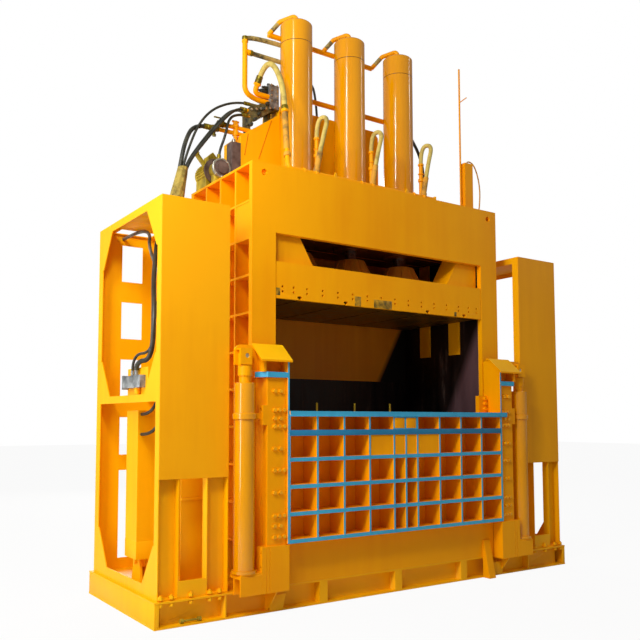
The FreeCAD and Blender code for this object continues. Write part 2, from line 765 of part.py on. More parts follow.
def make_platen():
    """Box platen behind a full-width front beam, with ears that rise between its front and rear webs."""
    back = "platen_front + platen_depth"
    ear_front = "platen_front + ear_setback"
    ear = [
        ("-platen_half_width", "platen_bottom + platen_face_plate"),
        ("platen_half_width", "platen_bottom + platen_face_plate"), ("platen_half_width", "platen_beam_top"),
        ("ear_outer", "platen_beam_top + 30"), ("ear_outer", "ear_top"), ("ear_inner_top", "ear_top"),
        ("ear_inner_bottom", "platen_beam_top"), ("-ear_inner_bottom", "platen_beam_top"),
        ("-ear_inner_top", "ear_top"), ("-ear_outer", "ear_top"), ("-ear_outer", "platen_beam_top + 30"),
        ("-platen_half_width", "platen_beam_top"),
    ]
    columns = [f"{number} * bolt_row_pitch - bolt_row_pitch / 2" for number in range(-5, 7)]
    columns += ["-outer_bolt", "-end_bolt", "end_bolt", "outer_bolt"]
    row = [((across, f"platen_bottom + {height}"), "bolt_hole_radius") for across in columns
           for height in ("bolt_row_low", "bolt_row_high")]
    beam = sheet_piece("platen_beam", "XZ_Plane", [
        rectangle("-platen_beam_half", "platen_beam_half", "platen_bottom", "platen_beam_top")],
        "platen_plate", "platen_front", row)
    notches = [sheet_piece(f"beam_notch_{number + 2}", "XZ_Plane", [keyhole(number, 1)], "platen_plate + 2",
                           "platen_front - 1") for number in (-2, -1, 0, 1, 2)]
    front_ear = sheet_piece("platen_front_ear", "XZ_Plane", [[
        ("ear_inner_bottom", "platen_deck - 1"), ("ear_outer", "platen_deck - 1"), ("ear_outer", "ear_top"),
        ("ear_inner_top", "ear_top"), ("ear_inner_bottom", "platen_beam_top"),
    ]], "platen_plate", ear_front)
    rear = sheet_piece("platen_rear_web", "XZ_Plane", [ear], "platen_plate", f"{back} - platen_plate")
    between = ("platen_front + platen_plate - 1", f"{back} - platen_plate + 1")
    deck = block("platen_top", ("-platen_half_width", "platen_half_width"), between,
                 ("platen_deck - platen_plate", "platen_deck"))
    under = block("platen_under", ("-platen_half_width", "platen_half_width"), between,
                  ("platen_bottom + platen_face_plate", "platen_bottom + platen_face_plate + platen_plate"))
    half_web = "platen_web / 2"
    centres = [f"cylinder_pitch * {number}" for number in (-1.5, -0.5, 0.5, 1.5)]
    centres += [f"-platen_half_width + {half_web}", f"platen_half_width - {half_web}"]
    webs = [block(f"platen_web_{index}", (f"{centre} - {half_web}", f"{centre} + {half_web}"), between,
                  ("platen_bottom + platen_face_plate + 1", "platen_deck - 1"))
            for index, centre in enumerate(centres)]
    slope = sheet_piece("ear_slope", "XZ_Plane", [[
        ("ear_inner_bottom", "platen_beam_top"), ("ear_inner_top", "ear_top"),
        ("ear_inner_top + 22", "ear_top"),
        ("ear_inner_bottom + 22", "platen_beam_top"), ("ear_inner_bottom + 22", "platen_deck - 1"),
        ("ear_inner_bottom", "platen_deck - 1"),
    ]], "200", f"{ear_front} + platen_plate - 1")
    bracket = block("travel_rod_seat", ("travel_rod_side - 20", f"platen_half_width - {half_web}"),
                    ("travel_rod_depth - 25", "travel_rod_depth + 25"),
                    ("platen_deck - 1", "platen_deck + 50"))
    slotted = less("platen_slotted_beam", beam, notches)
    ears = [front_ear, opposite("front_ear_left", front_ear), slope, opposite("ear_slope_left", slope)]
    pieces = [slotted, rear, deck, under, bracket] + ears + webs
    body = joined("platen_body", pieces)
    keep(less("platen_drilled", body, [bar("travel_rod_socket",
                                           ("travel_rod_side", "travel_rod_depth", "platen_deck + 10"),
                                           "travel_rod_radius", "60")]), "platen")
    # Pressing face behind the beam, grooved front to back for the strapping.
    plate = block("face_plate", ("-platen_half_width", "platen_half_width"),
                  ("platen_front + platen_plate", back),
                  ("platen_bottom", "platen_bottom + platen_face_plate"))
    grooves = [sheet_piece(f"face_groove_{number + 2}", "XZ_Plane", [keyhole(number, 1)], "platen_depth",
                           "platen_front + platen_plate - 1") for number in (-2, -1, 0, 1, 2)]
    keep(less("face", plate, grooves), "platen_face")


def make_travel_rod():
    """Rod that rises above the deck and shows how far the platen has travelled."""
    stem = bar("travel_stem", ("travel_rod_side", "travel_rod_depth", "platen_deck + 10"),
               "travel_rod_radius",
               "travel_rod_top - platen_deck - 10")
    finger = bar("travel_finger", ("travel_rod_side", "travel_rod_depth", "finger_height"), "finger_radius",
                 "finger_length", Rotation(Vector(1, 0, 0), 80))
    keep(joined("travel", [stem, finger]), "travel_rod")
    # Upright channel with limit switches beside the rod.
    near = "travel_rod_side + 30"
    post = block("switch_channel_box", (near, f"{near} + 110"),
                 ("travel_rod_depth - 35", "travel_rod_depth + 35"),
                 ("frame_top", "frame_top + 520"))
    inside = block("switch_post_inside", (f"{near} + 6", f"{near} + 104"),
                   ("travel_rod_depth - 29", "travel_rod_depth + 36"),
                   ("frame_top + 6", "frame_top + 514"))
    keep(less("switch_channel", post, [inside]), "switch_post")


# ---------------------------------------------------------------- gate


def make_gate():
    """Egg-crate gate: pockets cut from the front of a thick slab leave skin, rails and webs."""
    body, sketch = sketched_body("gate_slab", "XZ_Plane", [
        rectangle("-gate_half_width", "gate_half_width", "gate_bottom", "gate_top")], (), "gate_front")
    pad = body.newObject("PartDesign::Pad", "gate_full")
    pad.Profile = sketch
    pad.Reversed = True
    pad.setExpression("Length", formula("gate_back - gate_front"))
    pocket_depth = "gate_back - gate_front - gate_skin"
    first_row = "gate_bottom + gate_rail"
    row_height = "gate_row_pitch - gate_rail"
    fourth_row = "gate_bottom + 3 * gate_row_pitch + gate_rail"
    top_row = "gate_bottom + 4 * gate_row_pitch + gate_rail"
    top_height = "gate_top - gate_rail - (gate_bottom + 4 * gate_row_pitch + gate_rail)"
    web = "gate_web"
    left = "-gate_half_width"
    right = "gate_narrow_cell"
    wide = "gate_wide_cell"
    narrow = "gate_narrow_cell"
    cells = [
        ("left_cells", left, wide, first_row, row_height, 4, 3),
        ("middle_cells", "-gate_narrow_cell", narrow, first_row, row_height, 2, 3),
        ("right_cells", right, wide, first_row, row_height, 4, 3),
        ("left_high_cells", left, wide, fourth_row, row_height, 3, 1),
        ("right_high_cells", f"{right} + {wide}", wide, fourth_row, row_height, 3, 1),
        ("left_top_cells", left, wide, top_row, top_height, 4, 1),
        ("right_top_cells", right, wide, top_row, top_height, 4, 1),
    ]
    # Four cells of the fourth row are closed by plates a little behind the rails.
    plates = [
        ("left_plate", f"-{right} - {wide}", wide, fourth_row, row_height, 1, 1),
        ("middle_plates", f"-{right}", narrow, fourth_row, row_height, 2, 1),
        ("right_plate", right, wide, fourth_row, row_height, 1, 1),
    ]
    tip = pad
    for name, start, width, low, height, columns, rows in cells:
        tip = cell_pattern(body, name, start, width, web, low, height, pocket_depth, columns, rows)
    for name, start, width, low, height, columns, rows in plates:
        tip = cell_pattern(body, name, start, width, web, low, height, "gate_plate_recess", columns, rows)
    body.Tip = tip
    lip = block("gate_top_lip", ("-gate_half_width", "gate_half_width + lip_reach"),
                ("gate_front - 12", "gate_front"),
                ("gate_top - gate_rail", "gate_top"))
    pegs = [bar(f"peg_{index}", (across, "gate_back - 15", "gate_top - 1"), "9", "72")
            for index, across in enumerate(("-800", "-407", "-13"))]
    latch = block("latch_block", ("gate_half_width - 114", "gate_half_width"),
                  ("gate_back - 45", "gate_back"),
                  ("gate_top - 1", "gate_top + 161"))
    bolts = [bar(f"latch_bolt_{index}",
                 ("gate_half_width - 41", "gate_back - 67", f"gate_top + 38 + {index} * 48"),
                 "17", "30", ALONG_Y) for index in range(3)]
    slits = [block(f"skin_slit_{index}", (f"{start} + 28", f"{start} + 128"),
                   ("gate_back - gate_skin - 1", "gate_back + 1"),
                   (f"{top_row} + 4", f"{top_row} + 58"))
             for index, start in enumerate([f"{left} + {number} * {wide}" for number in range(4)]
                                           + [f"{right} + {number} * {wide}" for number in range(4)])]
    keep(less("gate_slitted", joined("gate_body", [body, lip, latch] + pegs + bolts), slits), "gate_panel")
    side = [("gate_front", "gate_bottom"), ("gate_back", "gate_bottom"), ("gate_back", "gate_side_top - 12"),
            ("gate_side_peak", "gate_side_top"), ("gate_front", "gate_side_front_top")]
    right_side = sheet_piece("gate_side_plate_body", "YZ_Plane", [side], "gate_side_plate", "gate_half_width")
    keep(grouped("gate_sides", [right_side, opposite("gate_side_mirror", right_side)]), "gate_side_plates")


def cell_pattern(body, name, start, width, web, low, height, depth, columns, rows):
    """One pocket, repeated across and up."""
    sketch = body.newObject("Sketcher::SketchObject", name + "_outline")
    sketch.AttachmentSupport = [(plane_of(body, "XZ_Plane"), "")]
    sketch.MapMode = "FlatFace"
    draw_loop(sketch, rectangle(f"{start} + {web} / 2", f"{start} + {width} - {web} / 2", low,
                                f"{low} + {height}"))
    pocket = body.newObject("PartDesign::Pocket", name + "_pocket")
    pocket.Profile = sketch
    pocket.Reversed = False
    pocket.setExpression("Length", formula(depth))
    doc.recompute()
    before = pocket.BaseFeature.Shape.Volume
    if pocket.Shape.Volume > before - 1:
        pocket.Reversed = True
        doc.recompute()
    across = doc.addObject("PartDesign::LinearPattern", name + "_across")
    across.Direction = (sketch, ["H_Axis"])
    across.setExpression("Length", formula(f"{width} * {max(columns - 1, 1)}"))
    across.Occurrences = columns
    upward = doc.addObject("PartDesign::LinearPattern", name + "_up")
    upward.Direction = (sketch, ["V_Axis"])
    upward.setExpression("Length", formula(f"gate_row_pitch * {max(rows - 1, 1)}"))
    upward.Occurrences = rows
    grid = doc.addObject("PartDesign::MultiTransform", name)
    grid.Originals = [pocket]
    body.addObject(grid)
    body.addObject(across)
    body.addObject(upward)
    grid.Transformations = [across, upward] if rows > 1 else [across]
    body.Tip = grid
    doc.recompute()
    return grid


def make_lift_arms():
    """Arm from the gate's side plate over the guide post to the cylinder's pin."""
    inner = "gate_half_width + gate_side_plate"
    lug_back = "lift_depth + lug_gap / 2"
    front_lug = "lift_depth - lug_gap / 2 - lug_plate"
    crown = "lift_pin_height + lug_rise"
    under = "lift_pin_height - lug_round + 6"
    end = "lift_axis + lug_round"
    rear_outline = [
        (inner, "arm_plate_high - 1"), ("arm_plate_reach", "arm_plate_high - 1"),
        ("lift_axis - lug_round", under),
        (end, under), (end, f"{crown} - lug_corner"), (f"{end} - lug_corner", crown), (inner, crown),
    ]
    front_outline = rectangle("lift_axis - front_lug_inner", "lift_axis + front_lug_outer", under,
                              f"{crown} - 32")
    crest = bar("lug_crest", (f"{end} - lug_corner", lug_back, f"{crown} - lug_corner"), "lug_corner",
                "lug_plate", ALONG_Y)
    bridge = block("lug_bridge", ("lift_axis - front_lug_inner", "lift_axis + front_lug_outer"),
                   (f"{front_lug} + 1", f"{lug_back} + 1"), (f"{crown} - 44", f"{crown} - 32"))
    lugs = [sheet_piece("front_lug", "XZ_Plane", [front_outline], "lug_plate", front_lug),
            sheet_piece("rear_lug", "XZ_Plane", [rear_outline], "lug_plate", lug_back), crest, bridge]
    shelf = sheet_piece("arm_shelf", "XY_Plane", [[
        (inner, "gate_front"), ("arm_plate_reach - 62", "gate_front"), ("arm_plate_reach", "-20"),
        ("arm_plate_reach", "gate_back - 3"), (inner, "gate_back - 3"),
    ]], "arm_plate_high - arm_plate_low", "arm_plate_low")
    web = sheet_piece("arm_web", "YZ_Plane", [[
        ("gate_front + 8", "arm_plate_high - 1"), ("gate_back - 3", "arm_plate_high - 1"),
        ("gate_back - 3", "gate_side_top + 4"), ("gate_side_peak", "gate_side_top + 4"),
        ("gate_front + 8", "gate_side_front_top + 10"),
    ]], "lug_plate", "arm_web_side")
    tie = block("arm_tie", (inner, "arm_web_side + 1"), ("gate_back - 25", "gate_back - 3"),
                ("arm_plate_high - 1", "lift_pin_height + 60"))
    # The hood lies on the side plate's sloping top edge and runs out over the post.
    slope = "(gate_side_top - gate_side_front_top) / (gate_side_peak - gate_front)"
    hood = sheet_piece("hood", "YZ_Plane", [[
        ("gate_front - 26", f"gate_side_front_top - 26 * {slope}"), ("gate_side_peak", "gate_side_top"),
        ("gate_side_peak + 30", "gate_side_top - 4"), ("gate_side_peak + 30", "gate_side_top + 12"),
        ("gate_side_peak - 4", "gate_side_top + 14"),
        ("gate_front - 26", f"gate_side_front_top - 26 * {slope} + 15"),
    ]], "hood_length", "gate_half_width - 14")
    bore = bar("lug_bore", ("lift_axis", f"{front_lug} - 1", "lift_pin_height"),
               "lift_pin_radius + running_fit",
               "lug_gap + 2 * lug_plate + 2", ALONG_Y)
    finished = less("lift_arm_bored", joined("lift_arm_body", lugs + [shelf, web, tie, hood]), [bore])
    keep(finished, "lift_arm_right")
    keep(opposite("lift_arm_mirror", finished), "lift_arm_left")
    # The pin stops short of the front lug's face and has its head behind the rear lug.
    pin = bar("lift_pin", ("lift_axis", f"{front_lug} + 9", "lift_pin_height"), "lift_pin_radius",
              "lug_gap + 2 * lug_plate + 3", ALONG_Y)
    head = bar("lift_pin_head", ("lift_axis", f"{lug_back} + lug_plate + 1", "lift_pin_height"),
               "lift_pin_radius + 7",
               "11", ALONG_Y)
    whole = joined("lift_pin_body", [pin, head])
    keep(grouped("lift_pin_pair", [whole, opposite("lift_pin_mirror", whole)]), "lift_pins")


def make_lift_cylinders():
    """Cylinders that raise the gate, standing on a bracket beside each post."""
    barrel = turned("lift_barrel", [
        ("0", "lift_foot"), ("lift_radius + 18", "lift_foot"), ("lift_radius + 18", "lift_foot + 20"),
        ("lift_radius", "lift_foot + 20"), ("lift_radius", "lift_collar - 25"),
        ("lift_radius + 14", "lift_collar - 22"), ("lift_radius + 14", "lift_collar + 18"),
        ("lift_radius + 5", "lift_collar + 24"), ("lift_radius + 2", "lift_collar + 24"),
        ("lift_radius + 2", "lift_barrel_top - 6"), ("lift_radius - 6", "lift_barrel_top"),
        ("lift_rod + running_fit", "lift_barrel_top"),
        ("lift_rod + running_fit", "lift_barrel_top - 90"), ("lift_bore", "lift_barrel_top - 90"),
        ("lift_bore", "lift_foot + 40"), ("0", "lift_foot + 40"),
    ], "lift_axis", "lift_depth")
    keep(barrel, "gate_cylinder_right")
    keep(opposite("lift_barrel_mirror", barrel), "gate_cylinder_left")
    eye_low = "lift_pin_height - 78"
    rod = turned("lift_rod_bar", [
        ("0", "lift_foot + 60"), ("lift_bore - running_fit", "lift_foot + 60"),
        ("lift_bore - running_fit", "lift_foot + 130"), ("lift_rod", "lift_foot + 130"),
        ("lift_rod", "lift_barrel_top + 52"), ("lift_rod + 9", "lift_barrel_top + 52"),
        ("lift_rod + 9", eye_low),
        ("0", eye_low),
    ], "lift_axis", "lift_depth")
    eye_plate = sheet_piece("rod_eye", "XZ_Plane", [[
        ("lift_axis - 46", f"{eye_low} - 1"), ("lift_axis + 46", f"{eye_low} - 1"),
        ("lift_axis + 46", "lift_pin_height + 18"),
        ("lift_axis + 24", "lift_pin_height + 40"), ("lift_axis - 24", "lift_pin_height + 40"),
        ("lift_axis - 46", "lift_pin_height + 18"),
    ]], "lug_gap - 2", "lift_depth - lug_gap / 2 + 1",
    [(("lift_axis", "lift_pin_height"), "lift_pin_radius")])
    whole = joined("lift_rod_body", [rod, eye_plate])
    keep(grouped("lift_rod_pair", [whole, opposite("lift_rod_mirror", whole)]), "gate_rods")
    # Bracket: a front plate flush with the socket beside it, a web, and two plates under the cylinder's foot.
    cheek = "gate_half_width + gate_side_plate + post_gap + post_width + housing_reach"
    outer = "lift_axis + lift_radius - 3"
    seat = "lift_foot - 16"
    bracket = [
        block("foot_top", (cheek, outer), ("housing_front", "lift_depth + lift_radius + 16"),
              (f"{seat} - 22", seat)),
        block("foot_pad", (cheek, f"{outer} - 8"), ("housing_front + 3", "lift_depth + lift_radius + 10"),
              (f"{seat} - 1", "lift_foot")),
        block("foot_front", (cheek, outer), ("housing_front", "housing_front + 14"),
              ("housing_bottom", f"{seat} - 21")),
        block("foot_web", ("lift_axis - 10", "lift_axis + 6"), ("housing_front + 13", "0"),
              ("housing_bottom", f"{seat} - 21")),
        block("foot_back", (cheek, outer), ("-14", "0"), ("housing_bottom", f"{seat} - 21")),
    ]
    foot = joined("lift_bracket", bracket)
    keep(foot, "cylinder_bracket_right")
    keep(opposite("lift_bracket_mirror", foot), "cylinder_bracket_left")


def make_guide_posts():
    """Box posts that the gate's side plates run along, each in a socket at its foot."""
    near = "gate_half_width + gate_side_plate + post_gap"
    far = f"{near} + post_width"
    post = block("post_box", (near, far), ("post_front", "frame_front"), ("post_foot", "post_top"))
    hollow = block("post_hollow", (f"{near} + 14", f"{far} - 14"), ("post_front + 14", "frame_front - 14"),
                   ("post_foot - 1", "post_top - 14"))
    reach = f"{far} + housing_reach"
    socket = block("socket_box", (f"{near} - housing_side", far), ("housing_front", "0"),
                   ("housing_bottom", "post_foot"))
    socket_back = block("socket_back", (f"{near} - 16", far), ("-1", "frame_front"),
                        ("base_height", "post_foot"))
    cheek = block("socket_cheek", (f"{far} - 1", reach), ("housing_front", "housing_front + cheek_depth"),
                  ("housing_bottom", "post_foot"))
    grooves = [block(f"cheek_groove_{index}", (f"{start} - 2", f"{start} + 2"),
                     ("housing_front - 1", "housing_front + 4"),
                     ("housing_bottom - 1", "post_foot + 1"))
               for index, start in enumerate((f"{far} - 14", f"{far} + 14"))]
    holes = [bar(f"cheek_hole_{index}", (f"{reach} - 24", "housing_front + 20", f"post_foot - {drop}"), "9",
                 "30", ALONG_X)
             for index, drop in enumerate((46, 152))]
    # Bracket on the post's outer side that steadies the cylinder at its collar.
    steady = block("steady_box", (f"{far} - 1", f"{far} + 40"), ("post_front", "post_front + 90"),
                   ("lift_collar - 69", "lift_collar + 84"))
    clamp = block("barrel_clamp", (f"{far} + 39", "lift_axis - lift_radius - 16"),
                  ("lift_depth - 24", "lift_depth + 24"),
                  ("lift_collar - 22", "lift_collar + 22"))
    slot = block("steady_slot", (f"{far} + 12", f"{far} + 41"), ("post_front + 25", "post_front + 45"),
                 ("lift_collar + 34", "lift_collar + 66"))
    outside = joined("post_outer", [post, socket, socket_back, cheek, steady, clamp])
    shell = less("post_shell", outside, [hollow, slot] + grooves + holes)
    keep(shell, "guide_post_right")
    keep(opposite("guide_post_mirror", shell), "guide_post_left")
    # Bolt heads on the post's front face: pairs, with three across at the heavier joints.
    bolts = []
    heights = (1692, 1546, 1480, 1420, 1249, 1085, 915, 739, 663, 580)
    heavy = (1546, 1420, 1085, 739, 580)
    for height in heights:
        offsets = (22, 66, 108) if height in heavy else (54, 108)
        for offset in offsets:
            bolts.append(bolt(at(size("gate_half_width") + size("gate_side_plate") + size("post_gap")
                                 + offset,
                                 size("post_front"), height), Vector(0, -1, 0), 16, 20))
    outer = size("tower_outer")
    inner = size("tower_inner")
    for across in (outer - 40, outer - 110, (outer + inner) / 2 + 27, inner + 150, inner + 74):
        bolts.append(bolt(at(across, 56, size("base_height") + 10), Vector(0, 0, 1), 13, 16))
        bolts.append(bolt(at(across, 50, size("base_height") - size("flange_plate")), Vector(0, 0, -1), 13,
                          12))
    mirrored = [item.mirror(Vector(0, 0, 0), Vector(1, 0, 0)) for item in bolts]
    keep(routed("bolt_heads", bolts + mirrored), "frame_bolts")


def bolt(foot, direction, half_width, height):
    """Hexagon head standing on a face."""
    across = direction.cross(Vector(0.3, 0.2, 1)).normalize()
    corners = []
    for step in range(7):
        turn = Rotation(direction, 60 * step)
        corners.append(foot + turn.multVec(across * half_width))
    return Part.Face(Part.makePolygon(corners)).extrude(direction * height)


# ---------------------------------------------------------------- side towers


def gusset(name, corner_depth, corner_up, run, rise, start):
    """Triangular web in a corner of the side frame."""
    outline = [(corner_depth, corner_up), (f"{corner_depth} + {run}", corner_up),
               (f"{corner_depth} + ({run}) * 0.08", f"{corner_up} + {rise}"),
               (corner_depth, f"{corner_up} + {rise}")]
    return sheet_piece(name, "YZ_Plane", [outline], "tower_plate", start)


def make_towers():
    """Open side tower: two channel posts in front, a ladder plate behind, rails and corner webs."""
    inner = "tower_inner"
    outer = "tower_outer"
    plate = "tower_plate"
    front = "tower_front + tower_cover"
    web_back = f"{front} + post_flange"
    up = "tower_top - base_height"
    outer_post = sheet_piece("outer_post", "XY_Plane", [[
        (outer, front), (outer, web_back), (f"{outer} - outer_post_width", web_back),
        (f"{outer} - outer_post_width", front),
        (f"{outer} - outer_post_width + {plate}", front),
        (f"{outer} - outer_post_width + {plate}", f"{web_back} - {plate}"),
        (f"{outer} - {plate}", f"{web_back} - {plate}"), (f"{outer} - {plate}", front),
    ]], up, "base_height")
    inner_post = sheet_piece("inner_post", "XY_Plane", [[
        (inner, front), (inner, web_back), (f"{inner} + inner_post_width", web_back),
        (f"{inner} + inner_post_width", front),
        (f"{inner} + inner_post_width - {plate}", front),
        (f"{inner} + inner_post_width - {plate}", f"{web_back} - {plate}"),
        (f"{inner} + {plate}", f"{web_back} - {plate}"), (f"{inner} + {plate}", front),
    ]], up, "base_height")
    half = "window_width / 2"
    windows = []
    for number, drop in enumerate(("0", "window_pitch", "2 * window_pitch", "3 * window_pitch")):
        low = f"top_window - {drop}"
        windows.append(rectangle(f"window_centre - {half}", f"window_centre + {half}", low,
                                 f"{low} + window_height"))
    windows.append(rectangle(f"window_centre - {half}", f"window_centre + {half}", "low_window_bottom",
                             "low_window_top"))
    ladder = sheet_piece("ladder_plate", "XZ_Plane",
                         [rectangle(inner, outer, "base_height", "tower_top")] + windows,
                         plate, f"tower_rear - {plate}")
    pieces = [outer_post, inner_post, ladder]
    sides = ((f"{outer} - {plate}", outer, f"{outer} - rail_shelf", outer),
             (inner, f"{inner} + {plate}", inner, f"{inner} + rail_shelf"))
    rear_start = "tower_rear - rear_leg"
    for index, (low, high, shelf_low, shelf_high) in enumerate(sides):
        span = (low, high)
        along = (front, "tower_rear")
        pieces.append(block(f"rear_leg_{index}", span, (rear_start, "tower_rear"),
                            ("base_height", "tower_top")))
        pieces.append(block(f"top_rail_{index}", span, along, ("tower_top - top_rail", "tower_top")))
        pieces.append(block(f"top_lip_{index}", (shelf_low, shelf_high), along,
                            (f"tower_top - {plate}", "tower_top")))
        pieces.append(block(f"middle_rail_{index}", span, along,
                            ("middle_rail_low", "middle_rail_low + middle_rail")))
        pieces.append(block(f"middle_shelf_{index}", (shelf_low, shelf_high), along,
                            (f"middle_rail_low + middle_rail - {plate}", "middle_rail_low + middle_rail")))
        pieces.append(block(f"bottom_rail_{index}", span, along,
                            ("base_height", "base_height + bottom_rail")))
    side = f"{outer} - {plate}"
    middle_up = "middle_rail_low + middle_rail"
    bottom_up = "base_height + bottom_rail"
    top_up = "tower_top - top_rail"
    pieces += [
        gusset("gusset_middle_front", web_back, middle_up, "gusset_run", "gusset_rise", side),
        gusset("gusset_middle_rear", rear_start, middle_up, "-gusset_run", "gusset_rise", side),
        gusset("gusset_bottom_front", web_back, bottom_up, "gusset_run", "gusset_rise", side),
        gusset("gusset_bottom_rear", rear_start, bottom_up, "-gusset_run", "gusset_rise", side),
        gusset("gusset_top_front", web_back, top_up, "gusset_run", "-gusset_rise", side),
        gusset("gusset_top_rear", rear_start, top_up, "-gusset_run", "-gusset_rise", side),
        block("top_front_rail", (inner, outer), (front, f"{front} + {plate}"),
              ("tower_top - top_rail", "tower_top")),
        block("kick_plate", (f"{inner} + inner_post_width - 1", f"{outer} - outer_post_width + 1"),
              (front, f"{front} + {plate}"), ("base_height", "base_height + 125")),
        block("post_shoe_outer", (f"{outer} - outer_post_width", outer), (front, f"{web_back} - 1"),
              ("base_height", "base_height + 10")),
        block("post_shoe_middle", (f"{inner} + inner_post_width - 1", f"{outer} - outer_post_width + 1"),
              (f"{front} + 1", f"{web_back} - 1"), ("base_height", "base_height + 10")),
        block("post_shoe_inner", (inner, f"{inner} + inner_post_width"), (front, f"{web_back} - 1"),
              ("base_height", "base_height + 10")),
        block("ladder_lip", (inner, outer), ("tower_rear - 40", "tower_rear"),
              (f"tower_top - {plate}", "tower_top")),
    ]
    tower = joined("tower", pieces)
    keep(tower, "tower_right")
    keep(opposite("tower_mirror", tower), "tower_left")
    cover = block("cover_sheet", (inner, outer), ("tower_front", front), ("cover_bottom", "tower_top"))
    keep(cover, "tower_cover_right")
    keep(opposite("cover_mirror", cover), "tower_cover_left")


def make_tower_columns():
    """Box column on a pinned foot that stands inside each tower."""
    low = "column_outer - 455"
    box = block("column_box", (low, "column_outer"), ("column_front", "column_front + column_size_y"),
                ("column_bottom", "column_top"))
    inside = block("column_inside", (f"{low} + 12", "column_outer - 12"),
                   ("column_front + 12", "column_front + column_size_y - 12"),
                   ("column_bottom - 1", "column_top - 12"))
    shell = less("column_shell", box, [inside])
    middle = "column_front + column_size_y / 2"
    lugs = []
    for index, start in enumerate(("column_outer - 70", "column_outer - 130")):
        lugs.append(sheet_piece(f"foot_lug_{index}", "YZ_Plane", [[
            (f"{middle} - 95", "base_height"), (f"{middle} + 95", "base_height"), (f"{middle} + 60", "380"),
            (f"{middle} - 60", "380"),
        ]], "20", start))
    tongue = block("foot_tongue", ("column_outer - 108", "column_outer - 72"),
                   (f"{middle} - 55", f"{middle} + 55"),
                   ("300", "column_bottom + 14"))
    tie = block("foot_crosspiece", (low, "column_outer"), (f"{middle} - 55", f"{middle} + 55"),
                ("column_bottom - 14", "column_bottom + 2"))
    pin = bar("foot_pin", ("column_outer - 150", middle, "345"), "22", "120", ALONG_X)
    second = block("foot_prop", (f"{low} + 40", f"{low} + 90"), (f"{middle} - 50", f"{middle} + 50"),
                   ("base_height", "column_bottom - 13"))
    column = joined("column", [shell, tongue, tie, pin, second] + lugs)
    keep(column, "tower_column_right")
    keep(opposite("column_mirror", column), "tower_column_left")
    # Valve on its plate, on the outer middle rail of the left tower.
    stand = block("valve_plate", ("-2158", "-2148"), ("380", "800"),
                  ("middle_rail_low + middle_rail", "1877"))
    body = block("valve_block", ("-2205", "-2157"), ("430", "780"), ("1720", "1815"))
    cap = block("valve_end", ("-2208", "-2154"), ("780", "800"), ("1712", "1823"))
    stems = [bar(f"valve_port_{index}", ("-2182", depth, "1814"), "15", "42")
             for index, depth in enumerate(("560", "640"))]
    lever = bar("valve_drain", ("-2180", "540", "1669"), "22", "52")
    keep(joined("valve", [stand, body, cap, lever] + stems), "tower_valve")


# ---------------------------------------------------------------- deck equipment


def make_tank():
    outline = [
        ("tank_right", "frame_top"), ("tank_right", "tank_top - 60"), ("tank_right - 60", "tank_top"),
        ("-tank_left", "tank_top"), ("-tank_left - 5", "wing_high"), ("-wing_left", "wing_low"),
        ("-wing_left", "frame_top"),
    ]
    tank = sheet_piece("tank_shell", "XZ_Plane", [outline], "tank_size_y", "tank_front")
    wall = "tank_wall"
    inside = sheet_piece("tank_inside", "XZ_Plane", [[
        (f"tank_right - {wall}", f"frame_top + {wall}"),
        (f"tank_right - {wall}", f"tank_top - 60 - {wall} / 2"),
        (f"tank_right - 60 - {wall} / 2", f"tank_top - {wall}"),
        (f"-tank_left + {wall}", f"tank_top - {wall}"),
        (f"-tank_left - 5 + {wall}", f"wing_high - {wall}"), (f"-wing_left + {wall}", f"wing_low - {wall}"),
        (f"-wing_left + {wall}", f"frame_top + {wall}"),
    ]], f"tank_size_y - 2 * {wall}", f"tank_front + {wall}")
    keep(less("tank_hollow", tank, [inside]), "oil_tank")


def slope_height(across):
    """Height of the tank's sloping shoulder at a place left of the tank."""
    return f"wing_low + (wing_left + ({across})) * (wing_high - wing_low) / (wing_left - tank_left - 5)"


def make_manifold():
    """Valve manifold on two feet on the tank's sloping shoulder, with a valve block at its head."""
    lift = "manifold_lift"
    left = "-manifold_left"
    right = "-tank_left - 47"
    face = sheet_piece("manifold_block", "XZ_Plane", [[
        (left, f"{slope_height(left)} + {lift}"), (right, f"{slope_height(right)} + {lift}"),
        (right, "tank_top - 10"),
        (f"{right} - 140", "tank_top - 14"), (left, "tank_top - 70"),
    ]], "manifold_depth", "tank_front + 15")
    feet = []
    for index, start in enumerate((f"{left} + 10", f"{right} - 40")):
        end = f"{start} + 30"
        feet.append(sheet_piece(f"manifold_foot_{index}", "XZ_Plane", [[
            (start, slope_height(start)), (end, slope_height(end)),
            (end, f"{slope_height(end)} + {lift} + 5"), (start, f"{slope_height(start)} + {lift} + 5"),
        ]], "manifold_depth - 65", "tank_front + 80"))
    stack = block("valve_stack", ("-tank_left - 116", "-tank_left - 10"),
                  ("tank_front + 5", "tank_front + 125"),
                  ("tank_top - 40", "tank_top + 190"))
    coils = [bar(f"valve_coil_{index}",
                 ("-tank_left - 150", f"tank_front + {offset}", f"tank_top + {height}"),
                 "17", "40", ALONG_X)
                 for index, (offset, height) in enumerate(((45, 155), (90, 155), (100, 110)))]
    knobs = [bar(f"valve_knob_{index}", (f"-tank_left - {offset}", "tank_front + 65", "tank_top + 185"),
                 "15", "34")
             for index, offset in enumerate((90, 45))]
    ports = [bar(f"manifold_port_{index}",
                 (f"{left} + {start}", f"tank_front + {offset}", f"tank_top - {drop}"),
                 "16", length, ALONG_X)
             for index, (start, offset, drop, length) in enumerate(((28, 80, 22, "120"), (-22, 30, 160, "40"),
                                                                    (-22, 58, 95, "40"),
                                                                    (-22, 94, 95, "40")))]
    keep(joined("manifold", [face, stack] + feet + coils + knobs + ports), "valve_manifold")


